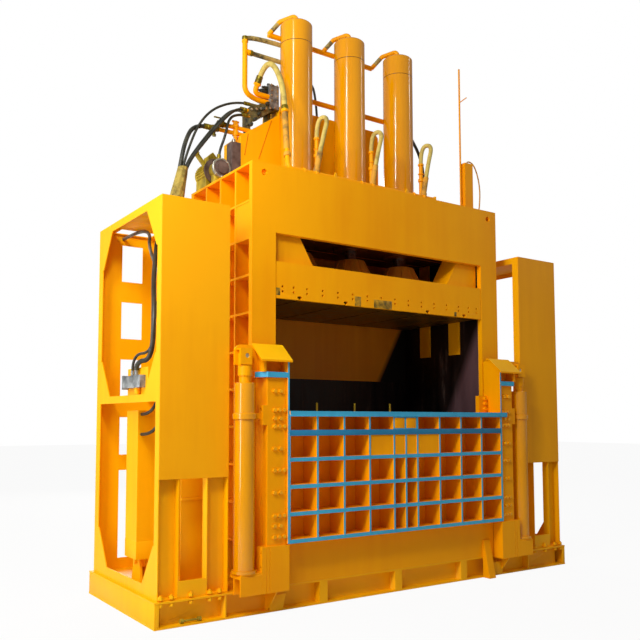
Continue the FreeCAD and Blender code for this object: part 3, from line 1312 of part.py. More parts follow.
def make_pump():
    """Motor and pump in line along the deck's left edge, and the filter block beside them."""
    centre = "-portal_half_width + 118"
    height = "frame_top + 165"
    motor = [
        bar("motor_drum", (centre, "980", height), "95", "220", ALONG_Y),
        bar("motor_flange", (centre, "968", height), "112", "14", ALONG_Y),
        block("motor_foot", (f"{centre} - 85", f"{centre} + 85"), ("990", "1190"),
              ("frame_top", f"{height} - 60")),
        block("motor_terminals", (f"{centre} - 50", f"{centre} + 50"), ("1010", "1110"),
              (f"{height} + 85", f"{height} + 150")),
    ]
    keep(joined("motor", motor), "pump_motor")
    pump = [
        bar("pump_casing", (centre, "868", height), "72", "100", ALONG_Y),
        bar("pump_flange", (centre, "846", height), "88", "24", ALONG_Y),
        bar("pump_nose", (centre, "826", height), "52", "22", ALONG_Y),
        block("pump_foot", (f"{centre} - 50", f"{centre} + 50"), ("875", "960"),
              ("frame_top", f"{height} - 50")),
        bar("pump_port", (centre, "906", height), "16", "92"),
    ]
    keep(joined("pump", pump), "oil_pump")
    body = block("filter_body", ("-wing_left - 90", "-wing_left"), ("845", "945"),
                 ("frame_top", "frame_top + 430"))
    cap = bar("filter_cap", ("-wing_left - 45", "895", "frame_top + 429"), "14", "36")
    keep(joined("filter", [body, cap]), "filter_block")


def cap_route(number):
    """Corners of the pipe from a cylinder's cap: cap, crown, knee over the rim and the tee on the header."""
    across = number * size("cylinder_pitch")
    axis = size("cylinder_depth")
    top = size("cylinder_top")
    crown = at(across, axis, top + 94)
    knee = crown + Vector(-112, 113, -44)
    return at(across, axis, top), crown, knee, at(across - 190, size("pipe_depth"), size("upper_pipe"))


def loop_foot(number):
    """Lower and upper end of the slanting pipe under each loop."""
    low = at(number * size("cylinder_pitch") - 118, size("frame_front") + 75,
             size("frame_top") + size("pipe_radius") + 1)
    return low, low + Vector(56, 18, 200)


def arch_ends():
    """Where the arch hose starts and ends, with the directions of the pipes that hold it."""
    start = at(-937, size("pipe_depth") - 20, 4585)
    rise = start - at(-948, size("pipe_depth") + 23, size("tank_top") + 70)
    end = at(-size("arch_low_side"), 330, 4147)
    fall = at(-size("riser_side") + 48, size("frame_front") + 97, size("frame_top") + 115) - end
    return start, rise, end, fall


def make_pipes():
    """Rigid pipes: headers behind the cylinders, riser, return lines and the deck's front line."""
    radius = size("pipe_radius")
    rear = size("pipe_depth")
    pitch = size("cylinder_pitch")
    high = size("upper_pipe")
    low = size("lower_pipe")
    deck = size("frame_top")
    drop = -pitch + 77
    header = tube("upper header", [at(-pitch - 190, rear, high), at(pitch - 190, rear, high)], radius)
    lower = tube("lower header", [at(drop, rear, low), at(pitch - 22, rear, low)], radius)
    down = tube("drop pipe", [at(drop, rear, low), at(drop, rear, high)], radius)
    tap = tube("header tap", [at(pitch - 390, rear, low - 62), at(pitch - 390, rear, low)], radius * 0.6)
    stubs = []
    elbows = []
    for number in (-1, 0, 1):
        cap, crown, knee, tee = cap_route(number)
        stubs.append(tube("header stub", [tee, tee + (knee - tee) * 0.32], radius * 0.9))
        elbows.append(tube("cap elbow", [cap, crown, knee, knee + (tee - knee) * 0.16], radius * 0.9))
    pieces = [header.multiFuse([lower, down, tap] + stubs).removeSplitter()] + elbows
    side = -size("riser_side")
    stack = -size("tank_left") - 116
    riser = tube("riser", [at(side, rear, high - 120), at(side, rear, low - 85),
                           at(-930, rear + 35, size("tank_top") + 18),
                           at(stack, rear + 35, size("tank_top") + 18)], radius)
    branch = tube("riser branch", [at(side, rear, high - 230), at(side + 52, rear, high - 230)], radius * 0.9)
    pieces.append(riser.fuse(branch).removeSplitter())
    edge = size("frame_front") + 75
    level = deck + radius + 1
    start, rise, end, fall = arch_ends()
    corner = at(side + 44, edge, level)
    line = tube("deck line", [end, end + fall, corner, at(pitch + 20, edge, level)], radius * 0.9)
    feet = [tube("loop foot", list(loop_foot(number)), radius * 0.8) for number in (-1, 0, 1)]
    pieces.append(line.multiFuse(feet).removeSplitter())
    pieces += [tube("loop standpipe", [at(number * pitch, 330, deck), at(number * pitch, 330, deck + 407)],
                    radius * 0.8)
               for number in (-1, 0, 1)]
    pieces.append(tube("arch elbow", [at(stack, rear + 23, size("tank_top") + 70), start - rise, start],
                       radius))
    tank = doc.getObject("tank_shell").Shape
    for height, reach in ((4141, 1300), (4086, 1390)):
        pipe = tube("return line", [at(-reach, 900, height), at(-size("tank_left") - 50, 900, height)], 19)
        pieces.append(pipe.cut(tank))
    keep(routed("pipes", pieces), "steel_pipes")


def make_hoses():
    """Hoses, each run whole between the two fittings that hold it."""
    radius = size("hose_radius")
    rear = size("pipe_depth")
    pitch = size("cylinder_pitch")
    high = size("upper_pipe")
    deck = size("frame_top")
    hoses = []
    for number in (-1, 0, 1):
        cap, crown, knee, tee = cap_route(number)
        hoses.append(tube("cap hose", [knee + (tee - knee) * 0.16, knee + (tee - knee) * 0.68],
                          radius * 0.85))
        low, foot = loop_foot(number)
        across = number * pitch
        hoses.append(tube("loop hose", [at(across, 330, deck + 407), at(across, 330, deck + 590),
                                        at(across + 45, 212, deck + 585),
                                        foot + (foot - low) * 0.75, foot], radius * 0.8))
    side = -size("riser_side")
    drop = -pitch + 77 - size("pipe_radius")
    hoses.append(tube("upper sheathed hose",
                      [at(side, rear, high - 120), at(side, rear, high - 63), at(drop, rear, high - 63)],
                      radius * 0.85))
    hoses.append(tube("lower sheathed hose", [at(side + 52, rear, high - 230), at(drop, rear, high - 230)],
                      radius * 0.85))
    keep(routed("hose_set", hoses), "cylinder_hoses")
    start, rise, end, fall = arch_ends()
    arch = tube("arch hose", [start, start + rise * 1.6, at(-900, 615, 4705), end - fall * 0.5, end], radius)
    keep(routed("arch_hose_shape", [arch]), "arch_hose")
    make_control_hoses()


def make_control_hoses():
    """Black hoses from the manifold, arching over the deck's edge and down into the left tower."""
    left = -size("manifold_left")
    port = size("column_top") - 31
    low_port = size("column_top") - 190
    column = size("column_front")
    high = size("tank_top") - 22
    low = size("tank_top") - 95
    slim = tube("valve hose", [
        at(left + 28, 930, high), at(-1130, 930, high), at(-1490, 872, 4180), at(-1698, 812, 3700),
        at(-1752, 796, 3380),
        at(-1880, 740, 3060), at(-2010, 470, 2600), at(-2125, 370, 2200), at(-2135, 370, 1985),
        at(-2182, 640, 1985),
        at(-2182, 640, 1856)], 11)
    first = tube("first column hose", [
        at(left - 22, 944, low), at(-1090, 944, low), at(-1260, 842, 4225), at(-1490, 840, 3930),
        at(-1676, 806, 3640),
        at(-1724, 778, 3380), at(-1835, 700, 3060), at(-1960, 380, 2600), at(-2078, 335, 2050),
        at(-2078, 345, port),
        at(-2078, column, port)], 13)
    second = tube("second column hose", [
        at(left - 22, 908, low), at(-1085, 908, low), at(-1250, 808, 4215), at(-1470, 806, 3935),
        at(-1655, 770, 3650),
        at(-1706, 744, 3380), at(-1820, 640, 3060), at(-1930, 320, 2600), at(-2040, 290, 2050),
        at(-2045, 300, 1640),
        at(-2078, 400, low_port), at(-2078, column, low_port)], 13)
    thick = tube("return hose", [
        at(-1390, 900, 4086), at(-1540, 900, 4086), at(-1700, 850, 3900), at(-1772, 838, 3620),
        at(-1812, 820, 3380),
        at(-1930, 760, 3060), at(-2060, 540, 2600), at(-2150, 300, 2300), at(-2160, 300, 1925),
        at(-2182, 560, 1925),
        at(-2182, 560, 1856)], 19)
    centre = -size("portal_half_width") + 118
    feed = tube("pump hose", [at(left - 22, 880, low - 65), at(-1090, 880, low - 65), at(-1225, 850, 4200),
                              at(-1262, 846, 4020), at(centre, 906, 3880),
                              at(centre, 906, size("frame_top") + 257)], 12)
    keep(routed("black_hoses", [slim, first, second, thick, feed]), "control_hoses")
    vent = tube("tower conduit", [at(-2000, 1372, 3080), at(-2000, 1010, 3080), at(-1904, 990, 3078),
                                  at(-1940, 940, 2930),
                                  at(-1880, 800, 2640), at(-1840, 420, 2300), at(-1840, 102, 2300)], 14)
    keep(routed("tower_hose_set", [vent]), "tower_hoses")


def main():
    make_base()
    make_portals()
    make_crosshead()
    make_side_walls()
    make_rear_wall()
    make_liners()
    make_floor()
    make_sill()
    make_guide_rails()
    make_cylinders()
    make_platen()
    make_travel_rod()
    make_gate()
    make_lift_arms()
    make_lift_cylinders()
    make_guide_posts()
    make_towers()
    make_tower_columns()
    make_tank()
    doc.recompute()
    make_manifold()
    make_pump()
    make_pipes()
    make_hoses()
    doc.recompute()
    for part in doc.Objects:
        if "Invalid" in part.State or "Error" in part.State:
            raise ValueError(f"{part.Label} did not build: {part.State}")
    os.makedirs("parts", exist_ok=True)
    for part in SUBPARTS:
        if part.Shape.isNull() or not part.Shape.isValid() or not part.Shape.Solids:
            raise ValueError(f"{part.Label} has no valid solid")
        part.Shape.exportStep(f"parts/{part.Label}.step")
        box = part.Shape.BoundBox
        print(f"{part.Label}: {len(part.Shape.Solids)} solids, {box.XMin:.0f}..{box.XMax:.0f}, "
              f"{box.YMin:.0f}..{box.YMax:.0f}, {box.ZMin:.0f}..{box.ZMax:.0f}")


main()
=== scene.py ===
# %% [markdown]
# A vertical baling press for waste. Three pressing cylinders drive a platen down into a steel chamber, and a
# grid gate slides up at the front to let the bale out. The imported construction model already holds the
# plates, cylinders and pipes in their true sizes. This script gives them finishes and broken edges, and adds
# the hoses and the small pieces that a fitter puts on last.
# Blender counts in metres: +Z is up, the gate faces -Y, and the origin is on the floor under the base.
# Places are written in millimetres, as on a drawing, and multiplied by MM.

# %% Load the frame
import json
import math

import bmesh
import bpy
from mathutils import Matrix, Vector


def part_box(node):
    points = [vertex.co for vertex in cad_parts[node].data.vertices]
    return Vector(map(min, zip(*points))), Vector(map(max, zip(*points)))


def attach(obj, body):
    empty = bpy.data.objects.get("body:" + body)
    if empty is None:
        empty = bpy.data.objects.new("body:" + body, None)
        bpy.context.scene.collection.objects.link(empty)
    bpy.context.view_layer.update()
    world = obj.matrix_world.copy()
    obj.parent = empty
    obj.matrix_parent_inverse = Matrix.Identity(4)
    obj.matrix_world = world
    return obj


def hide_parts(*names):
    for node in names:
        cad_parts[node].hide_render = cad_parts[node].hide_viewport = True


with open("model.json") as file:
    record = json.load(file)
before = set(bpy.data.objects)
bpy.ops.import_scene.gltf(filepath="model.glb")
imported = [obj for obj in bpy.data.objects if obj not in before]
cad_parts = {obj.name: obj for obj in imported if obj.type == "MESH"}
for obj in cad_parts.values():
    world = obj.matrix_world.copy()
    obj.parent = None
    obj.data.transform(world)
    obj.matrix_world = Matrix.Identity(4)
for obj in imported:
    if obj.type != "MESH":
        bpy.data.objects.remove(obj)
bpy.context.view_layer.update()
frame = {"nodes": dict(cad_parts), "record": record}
nodes = frame["nodes"]
node_body = {name: body for body, names in frame["record"]["behaviour"]["bodies"].items() for name in names}
node_slot = {part["node"]: part["material_slot"] for part in frame["record"]["subparts"]}
MM = 0.001


def lowest(node):
    """The lowest corner of a construction node's box, in millimetres."""
    return Vector(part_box(node)[0]) / MM


def highest(node):
    """The highest corner of a construction node's box, in millimetres."""
    return Vector(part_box(node)[1]) / MM


# %% [markdown]
# The machine was photographed from its left front at eye height. A camera tilted up until the whole machine
# is in view would make its upright edges lean together. So the camera rises only a little, and its lens is
# shifted up and sideways instead, as on an architect's camera, to bring the machine to the middle.

# %% Camera
CAMERA_PLACE = (-4.392, -5.751, 1.466)  # metres; the last one is eye height
CAMERA_TURN = math.radians(-33.667)
CAMERA_RISE = math.radians(4.12)
SENSOR_WIDTH = 36  # millimetres, as is the focal length
FOCAL_LENGTH = 42.59
LENS_SHIFT = (0.0325, 0.0717)  # shares of the picture's width

lens = bpy.data.cameras.new("camera")
lens.sensor_width = SENSOR_WIDTH
lens.lens = FOCAL_LENGTH
lens.shift_x, lens.shift_y = LENS_SHIFT
lens.clip_end = 200
camera = bpy.data.objects.new("camera", lens)
camera.location = CAMERA_PLACE
camera.rotation_euler = (math.pi / 2 + CAMERA_RISE, 0, CAMERA_TURN)
bpy.context.scene.collection.objects.link(camera)
bpy.context.scene.camera = camera
bpy.context.scene.view_settings.view_transform = "Standard"
print("camera at", CAMERA_PLACE)

# %% [markdown]
# Colours are written as the hex codes that an eye-dropper gives. Blender's sockets hold light, not codes, so
# one function turns a code to linear light. A second one fills the inputs of a node, and a third adds a node
# with its settings and its links, so that each finish below reads as a short list of steps.

# %% Colours and nodes
def light(code):
    """Linear RGBA of an sRGB hex colour such as #FFB000."""
    shares = [int(code[i:i + 2], 16) / 255 for i in (1, 3, 5)]
    return [c / 12.92 if c <= 0.04045 else ((c + 0.055) / 1.055) ** 2.4 for c in shares] + [1.0]


def wire(owner, node, inputs):
    """Gives a node's inputs their values, or joins them to the outputs of other nodes."""
    for key, value in inputs.items():
        if isinstance(value, bpy.types.NodeSocket):
            owner.node_tree.links.new(value, node.inputs[key])
        else:
            node.inputs[key].default_value = value


def add(owner, kind, settings=None, inputs=None):
    """Adds a node to a material or a world. A colour ramp takes its (position, hex) stops as a setting."""
    made = owner.node_tree.nodes.new(kind)
    for key, value in (settings or {}).items():
        if key != "stops":
            setattr(made, key, value)
            continue
        elements = made.color_ramp.elements
        while len(elements) < len(value):
            elements.new(0.5)
        for element, (position, code) in zip(elements, value):
            element.position = position
            element.color = light(code)
    wire(owner, made, inputs or {})
    return made


def new_material(name):
    """An empty material with its shader and the object's own coordinates."""
    material = bpy.data.materials.new(name)
    material.use_nodes = True
    place = add(material, "ShaderNodeTexCoord").outputs["Object"]
    return material, material.node_tree.nodes["Principled BSDF"], place


def per(size):
    """The scale of a pattern whose marks are so many millimetres wide."""
    return 1 / (size * MM)


# %% [markdown]
# Almost all of the machine is plate steel sprayed with one gloss enamel. Up close such enamel has orange
# peel, a fine ripple. From further off its shade drifts from plate to plate, and rain and oil leave upright
# runs. One flat colour would look like plastic, so a large soft noise gives the drift and the dull clouds, a
# noise stretched upwards gives the runs, and a fine one the peel. Peel of 1 to 3 mm is finer than a pixel
# here, so it is drawn twelve times as coarse as it is.

# %% Sprayed enamel
CLOUD = 1111  # width of a dusty cloud in millimetres
RUN_WIDE, RUN_TALL = 111.1, 1429
PEEL_ENLARGED = 12
ENAMEL_IOR = 1.5


def sprayed_enamel(name, bright, dull, roughness=0.36, peel=2.5, shine=0.32):
    """Enamel that drifts between two colours; peel is the width of its ripples in millimetres."""
    material, shader, place = new_material(name)
    drift = add(material, "ShaderNodeTexNoise", None, {"Vector": place, "Scale": per(CLOUD), "Detail": 3.0})
    stretched = add(material, "ShaderNodeMapping", None,
                    {"Vector": place, "Scale": (per(RUN_WIDE), per(RUN_WIDE), per(RUN_TALL))})
    runs = add(material, "ShaderNodeTexNoise", None,
               {"Vector": stretched.outputs["Vector"], "Scale": 1.0, "Detail": 4.0, "Roughness": 0.6})
    both = add(material, "ShaderNodeMath", {"operation": "MULTIPLY_ADD"},
               {0: runs.outputs["Fac"], 1: 0.5, 2: drift.outputs["Fac"]})
    shade = add(material, "ShaderNodeValToRGB", {"stops": [(0.55, dull), (0.86, bright)]},
                {"Fac": both.outputs[0]})
    dust = add(material, "ShaderNodeMapRange", None,
               {"Value": drift.outputs["Fac"], "From Min": 0.3, "From Max": 0.7,
                "To Min": roughness - 0.06, "To Max": roughness + 0.1})
    fine = add(material, "ShaderNodeTexNoise", None,
               {"Vector": place, "Scale": per(peel * PEEL_ENLARGED), "Detail": 2.0})
    ripple = add(material, "ShaderNodeBump", None,
                 {"Height": fine.outputs["Fac"], "Distance": 0.6 * MM, "Strength": 0.2})
    wire(material, shader, {"Base Color": shade.outputs["Color"], "Roughness": dust.outputs["Result"],
                            "Normal": ripple.outputs["Normal"], "IOR": ENAMEL_IOR,
                            "Specular IOR Level": shine})
    return material


# %% [markdown]
# The machine was not sprayed in one go, and light, dust and oil have changed it unevenly since. One enamel
# for all of it would make one flat yellow block. So each part of the machine gets its own pair of close
# shades, the first one bright, the second dull, with its own roughness, peel and shine. Some pairs are also
# brighter copies that paint light, and some darker copies that paint shade, as noted below.

# %% The machine's enamels
# The plates' own coat: even, with a low sheen, because fine dust lies on it.
paint = sprayed_enamel("sprayed_orange_enamel", "#FFAC00", "#F8A000", 0.36, 2.5, 0.14)
# A wet coat on the turned tubes, in which windows show as sharp streaks.
cylinder_paint = sprayed_enamel("wet_gloss_orange_enamel", "#EEA000", "#E09200", 0.09, 1.4, 0.6)
# Coats on the towers, their covers and the arms' hoods. The towers' coat, also on the base, the tank and the
# small plates, is painted brighter and yellower than the plates' as sunlight; the hoods' is painted brighter
# still as light, on their upward faces only.
sunlit_paint = sprayed_enamel("sunlit_yellow_enamel", "#FFB900", "#FBAE00", 0.4, 2.5, 0.2)
cover_paint = sprayed_enamel("sprayed_orange_cover_enamel", "#FCAC00", "#F3A000", 0.44, 2.5, 0.2)
hood_painted_light = sprayed_enamel("hood_enamel_painted_light", "#FFC400", "#FBB800", 0.34)
# Duller, browner copies of the enamel, most of the sheen gone. The first is painted shade on seams and
# sprayed ferrules. The second, near black, is painted shade under the crosshead and colours the dark welds.
# The third is enamel browned by oil, on the rod cones.
shaded_paint = sprayed_enamel("shaded_orange_enamel", "#EE8C00", "#D87400", 0.55, 2.5, 0.2)
weld_and_shade_paint = sprayed_enamel("dark_weld_and_painted_shade_enamel", "#7A4306", "#3C2308", 0.4, 2.5, 0.3)
cone_paint = sprayed_enamel("oil_browned_enamel", "#E8A030", "#B87018", 0.35, 2.5, 0.4)
# The gate's blue was brushed on by hand and lies flatter than the spray.
blue_paint = sprayed_enamel("brushed_blue_enamel", "#45B4DC", "#3AA2CE", 0.4, 2.5, 0.3)
deep_blue_paint = sprayed_enamel("deep_blue_enamel", "#2B86B4", "#2478A4", 0.4, 2.5, 0.3)
print("enamels", len(bpy.data.materials))

# %% [markdown]
# The chamber is lined with bare wear plate, a hard rolled steel. Waste scours it and rust comes back between
# bales, so it is near black and brown, with smears that the platen draws out upwards. A noise stretched
# upwards picks the colour, and the same noise makes the scoured smears glossier than the rust. Fine
# scratches share the stretch.

# %% Worn wear plate
SMEAR_WIDE, SMEAR_TALL = 102.04, 595.2
SCRATCH_WIDE = 8.929


def worn_plate(name, dark, rusty, bright):
    """Bare steel in three colours, from the oily ground to the scoured smears."""
    material, shader, place = new_material(name)
    smear = add(material, "ShaderNodeMapping", None,
                {"Vector": place, "Scale": (per(SMEAR_WIDE), per(SMEAR_WIDE), per(SMEAR_TALL))})
    patches = add(material, "ShaderNodeTexNoise", None,
                  {"Vector": smear.outputs["Vector"], "Scale": 1.0, "Detail": 8.0, "Roughness": 0.62})
    shade = add(material, "ShaderNodeValToRGB", {"stops": [(0.36, dark), (0.6, rusty), (0.74, bright)]},
                {"Fac": patches.outputs["Fac"]})
    gloss = add(material, "ShaderNodeMapRange", None,
                {"Value": patches.outputs["Fac"], "From Min": 0.35, "From Max": 0.7,
                 "To Min": 0.28, "To Max": 0.62})
    scratches = add(material, "ShaderNodeTexNoise", None,
                    {"Vector": smear.outputs["Vector"], "Scale": SMEAR_WIDE / SCRATCH_WIDE, "Detail": 6.0})
    scored = add(material, "ShaderNodeBump", None,
                 {"Height": scratches.outputs["Fac"], "Distance": 3 * MM, "Strength": 0.4})
    wire(material, shader, {"Base Color": shade.outputs["Color"], "Roughness": gloss.outputs["Result"],
                            "Normal": scored.outputs["Normal"], "Metallic": 0.55})
    return material


liner_steel = worn_plate("worn_wear_plate", "#0E0B0C", "#2A1B17", "#55433B")
side_liner = worn_plate("side_wear_plate", "#0E0B0C", "#2A1B17", "#6A5850")
face_steel = worn_plate("scoured_face_plate", "#3A2A10", "#8A6414", "#B98A20")
print("wear plates", liner_steel.name, side_liner.name, face_steel.name)

# %% [markdown]
# Two slanted borders cross the chamber's walls. They are painted shadow edges: past its border the rear wall
# is painted near black as shadow, and past its own the right liner is painted mauve-grey as light. A second
# plate with its own colour would show an edge, so the colour itself changes in the material. The border is a
# straight line through two places, and the distance from that line is the dot product with the direction
# across it.

# %% Painted shadow borders in the chamber
def painted_shadow_border(material, first, second, facing, beyond, soft):
    """Turns the colour to another one past the line through two places on a wall that faces one way: a
    painted shadow edge.
    """
    shader = material.node_tree.nodes["Principled BSDF"]
    place = add(material, "ShaderNodeTexCoord").outputs["Object"]
    first, second = Vector(first) * MM, Vector(second) * MM
    across = (second - first).cross(Vector(facing)).normalized()
    middle = first.dot(across)
    shift = add(material, "ShaderNodeVectorMath", {"operation": "DOT_PRODUCT"}, {0: place, 1: across})
    share = add(material, "ShaderNodeMapRange", None,
                {"Value": shift.outputs["Value"], "From Min": middle - soft * MM,
                 "From Max": middle + soft * MM})
    # The wall's own colour on the near side of the painted shadow edge.
    clean = shader.inputs["Base Color"].links[0].from_socket
    mixed = add(material, "ShaderNodeMix", {"data_type": "RGBA"},
                {0: share.outputs["Result"], 6: clean, 7: light(beyond)})
    wire(material, shader, {"Base Color": mixed.outputs[2]})


shadowed_rear_wall = sprayed_enamel("rear_wall_painted_shadow", "#FFA018", "#F08E08", 0.5, 2.5, 0.25)
# Past its border the rear wall turns near black: painted shadow.
painted_shadow_border(shadowed_rear_wall, (1108, 521, 2438), (807, 521, 1890), (0, 1, 0), "#140C08", 30)
# Past its border the right liner turns mauve-grey: painted light.
painted_shadow_border(side_liner, (1189, -534, 2340), (1189, -144, 1555), (1, 0, 0), "#6E5054", 50)
print("dust borders on", shadowed_rear_wall.name, "and", side_liner.name)

# %% [markdown]
# The metals that show are small: cast iron valve blocks, an alloy filter, chromed rods and zinc plated
# fittings. Plating is smooth and mirrors the room, castings are rough and only half as bright, and all are
# mottled by handling. Painted castings, bolt heads and rubbed primer are mottled too, with no metallic share.
# So they share one recipe, a soft mottle between two colours with a fourteen times finer grit in the bump.

# %% Cast and plated metals
GRIT_FINER = 14


def mottled_metal(name, dark, pale, metallic, roughness, blotch=71.43, grit=0.8):
    """Metal with blotches so many millimetres wide and grit so many millimetres deep."""
    material, shader, place = new_material(name)
    mottle = add(material, "ShaderNodeTexNoise", None,
                 {"Vector": place, "Scale": per(blotch), "Detail": 6.0})
    shade = add(material, "ShaderNodeValToRGB", {"stops": [(0.35, dark), (0.68, pale)]},
                {"Fac": mottle.outputs["Fac"]})
    fine = add(material, "ShaderNodeTexNoise", None,
               {"Vector": place, "Scale": per(blotch / GRIT_FINER), "Detail": 3.0})
    cast = add(material, "ShaderNodeBump", None,
               {"Height": fine.outputs["Fac"], "Distance": grit * MM, "Strength": 0.35})
    wire(material, shader, {"Base Color": shade.outputs["Color"], "Normal": cast.outputs["Normal"],
                            "Metallic": metallic, "Roughness": roughness})
    return material


# Cast iron: dark olive hollows where it is soaked with oil, cool grey where it is ground clean.
manifold_iron = mottled_metal("oily_iron_manifold", "#3A3522", "#8A7C4C", 0.35, 0.45)
valve_iron = mottled_metal("grey_valve_block", "#5E6264", "#AEB2B2", 0.4, 0.36)
# Thick olive enamel over a casting, and die-cast alloy of a warm mauve-grey between metal and paint.
motor_enamel = mottled_metal("olive_motor_enamel", "#8F7A14", "#C8AC28", 0.0, 0.45)
filter_alloy = mottled_metal("mauve_grey_alloy", "#5E4A44", "#857068", 0.4, 0.42)
# Ground hard chrome: a clean mirror, and the same under an oil film that browns it.
rod_chrome = mottled_metal("hard_chromed_rod", "#B8B8B4", "#D8D8D4", 1.0, 0.14, 200, 0.1)
oiled_rod = mottled_metal("oil_filmed_rod", "#6A5A54", "#A89C98", 0.9, 0.24, 200, 0.1)
# Enamel on bolt heads, uneven where a spanner has gripped them.
bolt_enamel = mottled_metal("sprayed_bolt_heads", "#E59A00", "#FFB200", 0.0, 0.35)
# Zinc plating: pale and bright, or olive where it was passivated.
bright_zinc = mottled_metal("bright_zinc", "#B9B6A8", "#E3E0D2", 0.9, 0.28)
olive_zinc = mottled_metal("olive_zinc", "#6E6014", "#A89020", 0.7, 0.38)
# Primer that shows where straps rubbed the paint off: matt, in coarse blotches.
worn_primer = mottled_metal("rubbed_olive_primer", "#4E4204", "#D29A10", 0.0, 0.5, 45.45)
print("materials", len(bpy.data.materials))

# %% [markdown]
# The thin control hoses are black rubber gone olive under a film of oil: smooth, with a soft sheen. The
# thick hoses wear a woven sleeve against rubbing, dry and matt, beige where it is clean and dark where it is
# worn. Its threads lie about a millimetre apart, finer than a pixel here, so the bump draws them 6 mm apart.
# Blender's diagonal bands repeat every tau / 10 of x + y + z, and that sum grows by the root of 3 along the
# diagonal, which gives the scale of the threads.

# %% Rubber and woven sleeves
OIL_FILM = 111.1  # widths of the marks in millimetres
RUBBER_GRAIN = 2.381
SLEEVE_WEAR = 90.91
THREAD = 6.046


def hose_rubber(name, dark, pale, roughness):
    """Extruded rubber under a film of oil."""
    material, shader, place = new_material(name)
    film = add(material, "ShaderNodeTexNoise", None, {"Vector": place, "Scale": per(OIL_FILM), "Detail": 5.0})
    shade = add(material, "ShaderNodeValToRGB", {"stops": [(0.35, dark), (0.7, pale)]},
                {"Fac": film.outputs["Fac"]})
    fine = add(material, "ShaderNodeTexNoise", None,
               {"Vector": place, "Scale": per(RUBBER_GRAIN), "Detail": 2.0})
    grain = add(material, "ShaderNodeBump", None,
                {"Height": fine.outputs["Fac"], "Distance": 0.5 * MM, "Strength": 0.3})
    wire(material, shader, {"Base Color": shade.outputs["Color"], "Normal": grain.outputs["Normal"],
                            "Roughness": roughness})
    return material


def woven_sleeve(name, clean, worn, dirt, share):
    """Woven tape; share is the noise level at which it is worn."""
    material, shader, place = new_material(name)
    wear = add(material, "ShaderNodeTexNoise", None,
               {"Vector": place, "Scale": per(SLEEVE_WEAR), "Detail": 7.0, "Roughness": 0.65})
    shade = add(material, "ShaderNodeValToRGB",
                {"stops": [(share - 0.12, dirt), (share, worn), (share + 0.1, clean)]},
                {"Fac": wear.outputs["Fac"]})
    thread = add(material, "ShaderNodeTexWave", {"wave_type": "BANDS", "bands_direction": "DIAGONAL"},
                 {"Vector": place, "Scale": math.tau / 10 / math.sqrt(3) * per(THREAD), "Distortion": 1.0})
    weave = add(material, "ShaderNodeBump", None,
                {"Height": thread.outputs["Fac"], "Distance": MM, "Strength": 0.35})
    wire(material, shader, {"Base Color": shade.outputs["Color"], "Normal": weave.outputs["Normal"],
                            "Roughness": 0.8})
    return material


# Oil makes the black rubber olive and shiny, the grey one is dry.
black_rubber = hose_rubber("oily_black_rubber", "#1F2019", "#3E3D30", 0.38)
grey_rubber = hose_rubber("pale_grey_rubber", "#5D5F58", "#8C8C82", 0.5)
# Tape that is clean, scuffed or spattered with the machine's paint, and the canvas round the bundle.
sleeve = woven_sleeve("woven_beige_sleeve", "#CDB65E", "#BBA453", "#8E7A3A", 0.42)
worn_sleeve = woven_sleeve("worn_beige_sleeve", "#C2AA60", "#A08A4C", "#45402F", 0.48)
spattered_sleeve = woven_sleeve("paint_spattered_sleeve", "#D89A2C", "#A87C30", "#5A4A2C", 0.42)
canvas = woven_sleeve("khaki_canvas", "#A8923F", "#8C7830", "#5E4E1C", 0.42)
print("materials", len(bpy.data.materials))

# %% [markdown]
# Rods, pins, bolts, pipes, the chamber's floor and the scoured face of the platen are turned or plain pieces
# and look right as the construction model gives them. They keep their solids and only get the finish of the
# real piece. Every other node is shown by a copy, which the next cells make.

# %% Finishes of the construction's own solids
FINISH = {
    "chamber_floor": liner_steel, "platen_face": face_steel, "press_pistons": rod_chrome,
    "press_rod_left": oiled_rod, "press_rod_middle": oiled_rod, "press_rod_right": oiled_rod,
    "tie_pin": motor_enamel, "pump_motor": motor_enamel, "frame_bolts": bolt_enamel, "travel_rod": paint,
    "gate_rods": paint, "lift_pins": bright_zinc, "steel_pipes": paint, "gate_cylinder_left": cylinder_paint,
    "gate_cylinder_right": cylinder_paint,
}


def dress(piece, material):
    """Gives a piece one material."""
    piece.data.materials.clear()
    piece.data.materials.append(material)


for name, material in FINISH.items():
    dress(nodes[name], material)
print("dressed", len(FINISH), "of", len(nodes), "nodes")

# %% [markdown]
# The plate work is cut and welded, and every cut edge was broken with a grinder before spraying. A perfectly
# sharp edge catches no light and gives a model away. Modelling each broken edge by hand would take hundreds
# of cuts, so each plate node is copied, its loose triangles are merged to real faces, and a Bevel modifier
# breaks every edge sharper than 40 degrees. A copy can also carry other finishes on chosen faces, picked by
# where they are and which way they look.

# %% Copies with broken edges
WELD = 0.05  # millimetres between corners that are one
FLAT = math.radians(1)
CREASE = math.radians(32)  # blunter joints are shaded as one smooth surface
BEVEL_FROM = math.radians(40)


def settle(piece, body, slot_name, *stands_for):
    """Puts a finished piece in the scene, on its body and in place of its nodes; slot_name is not used."""
    bpy.context.scene.collection.objects.link(piece)
    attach(piece, body)
    if stands_for:
        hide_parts(*stands_for)
    return piece


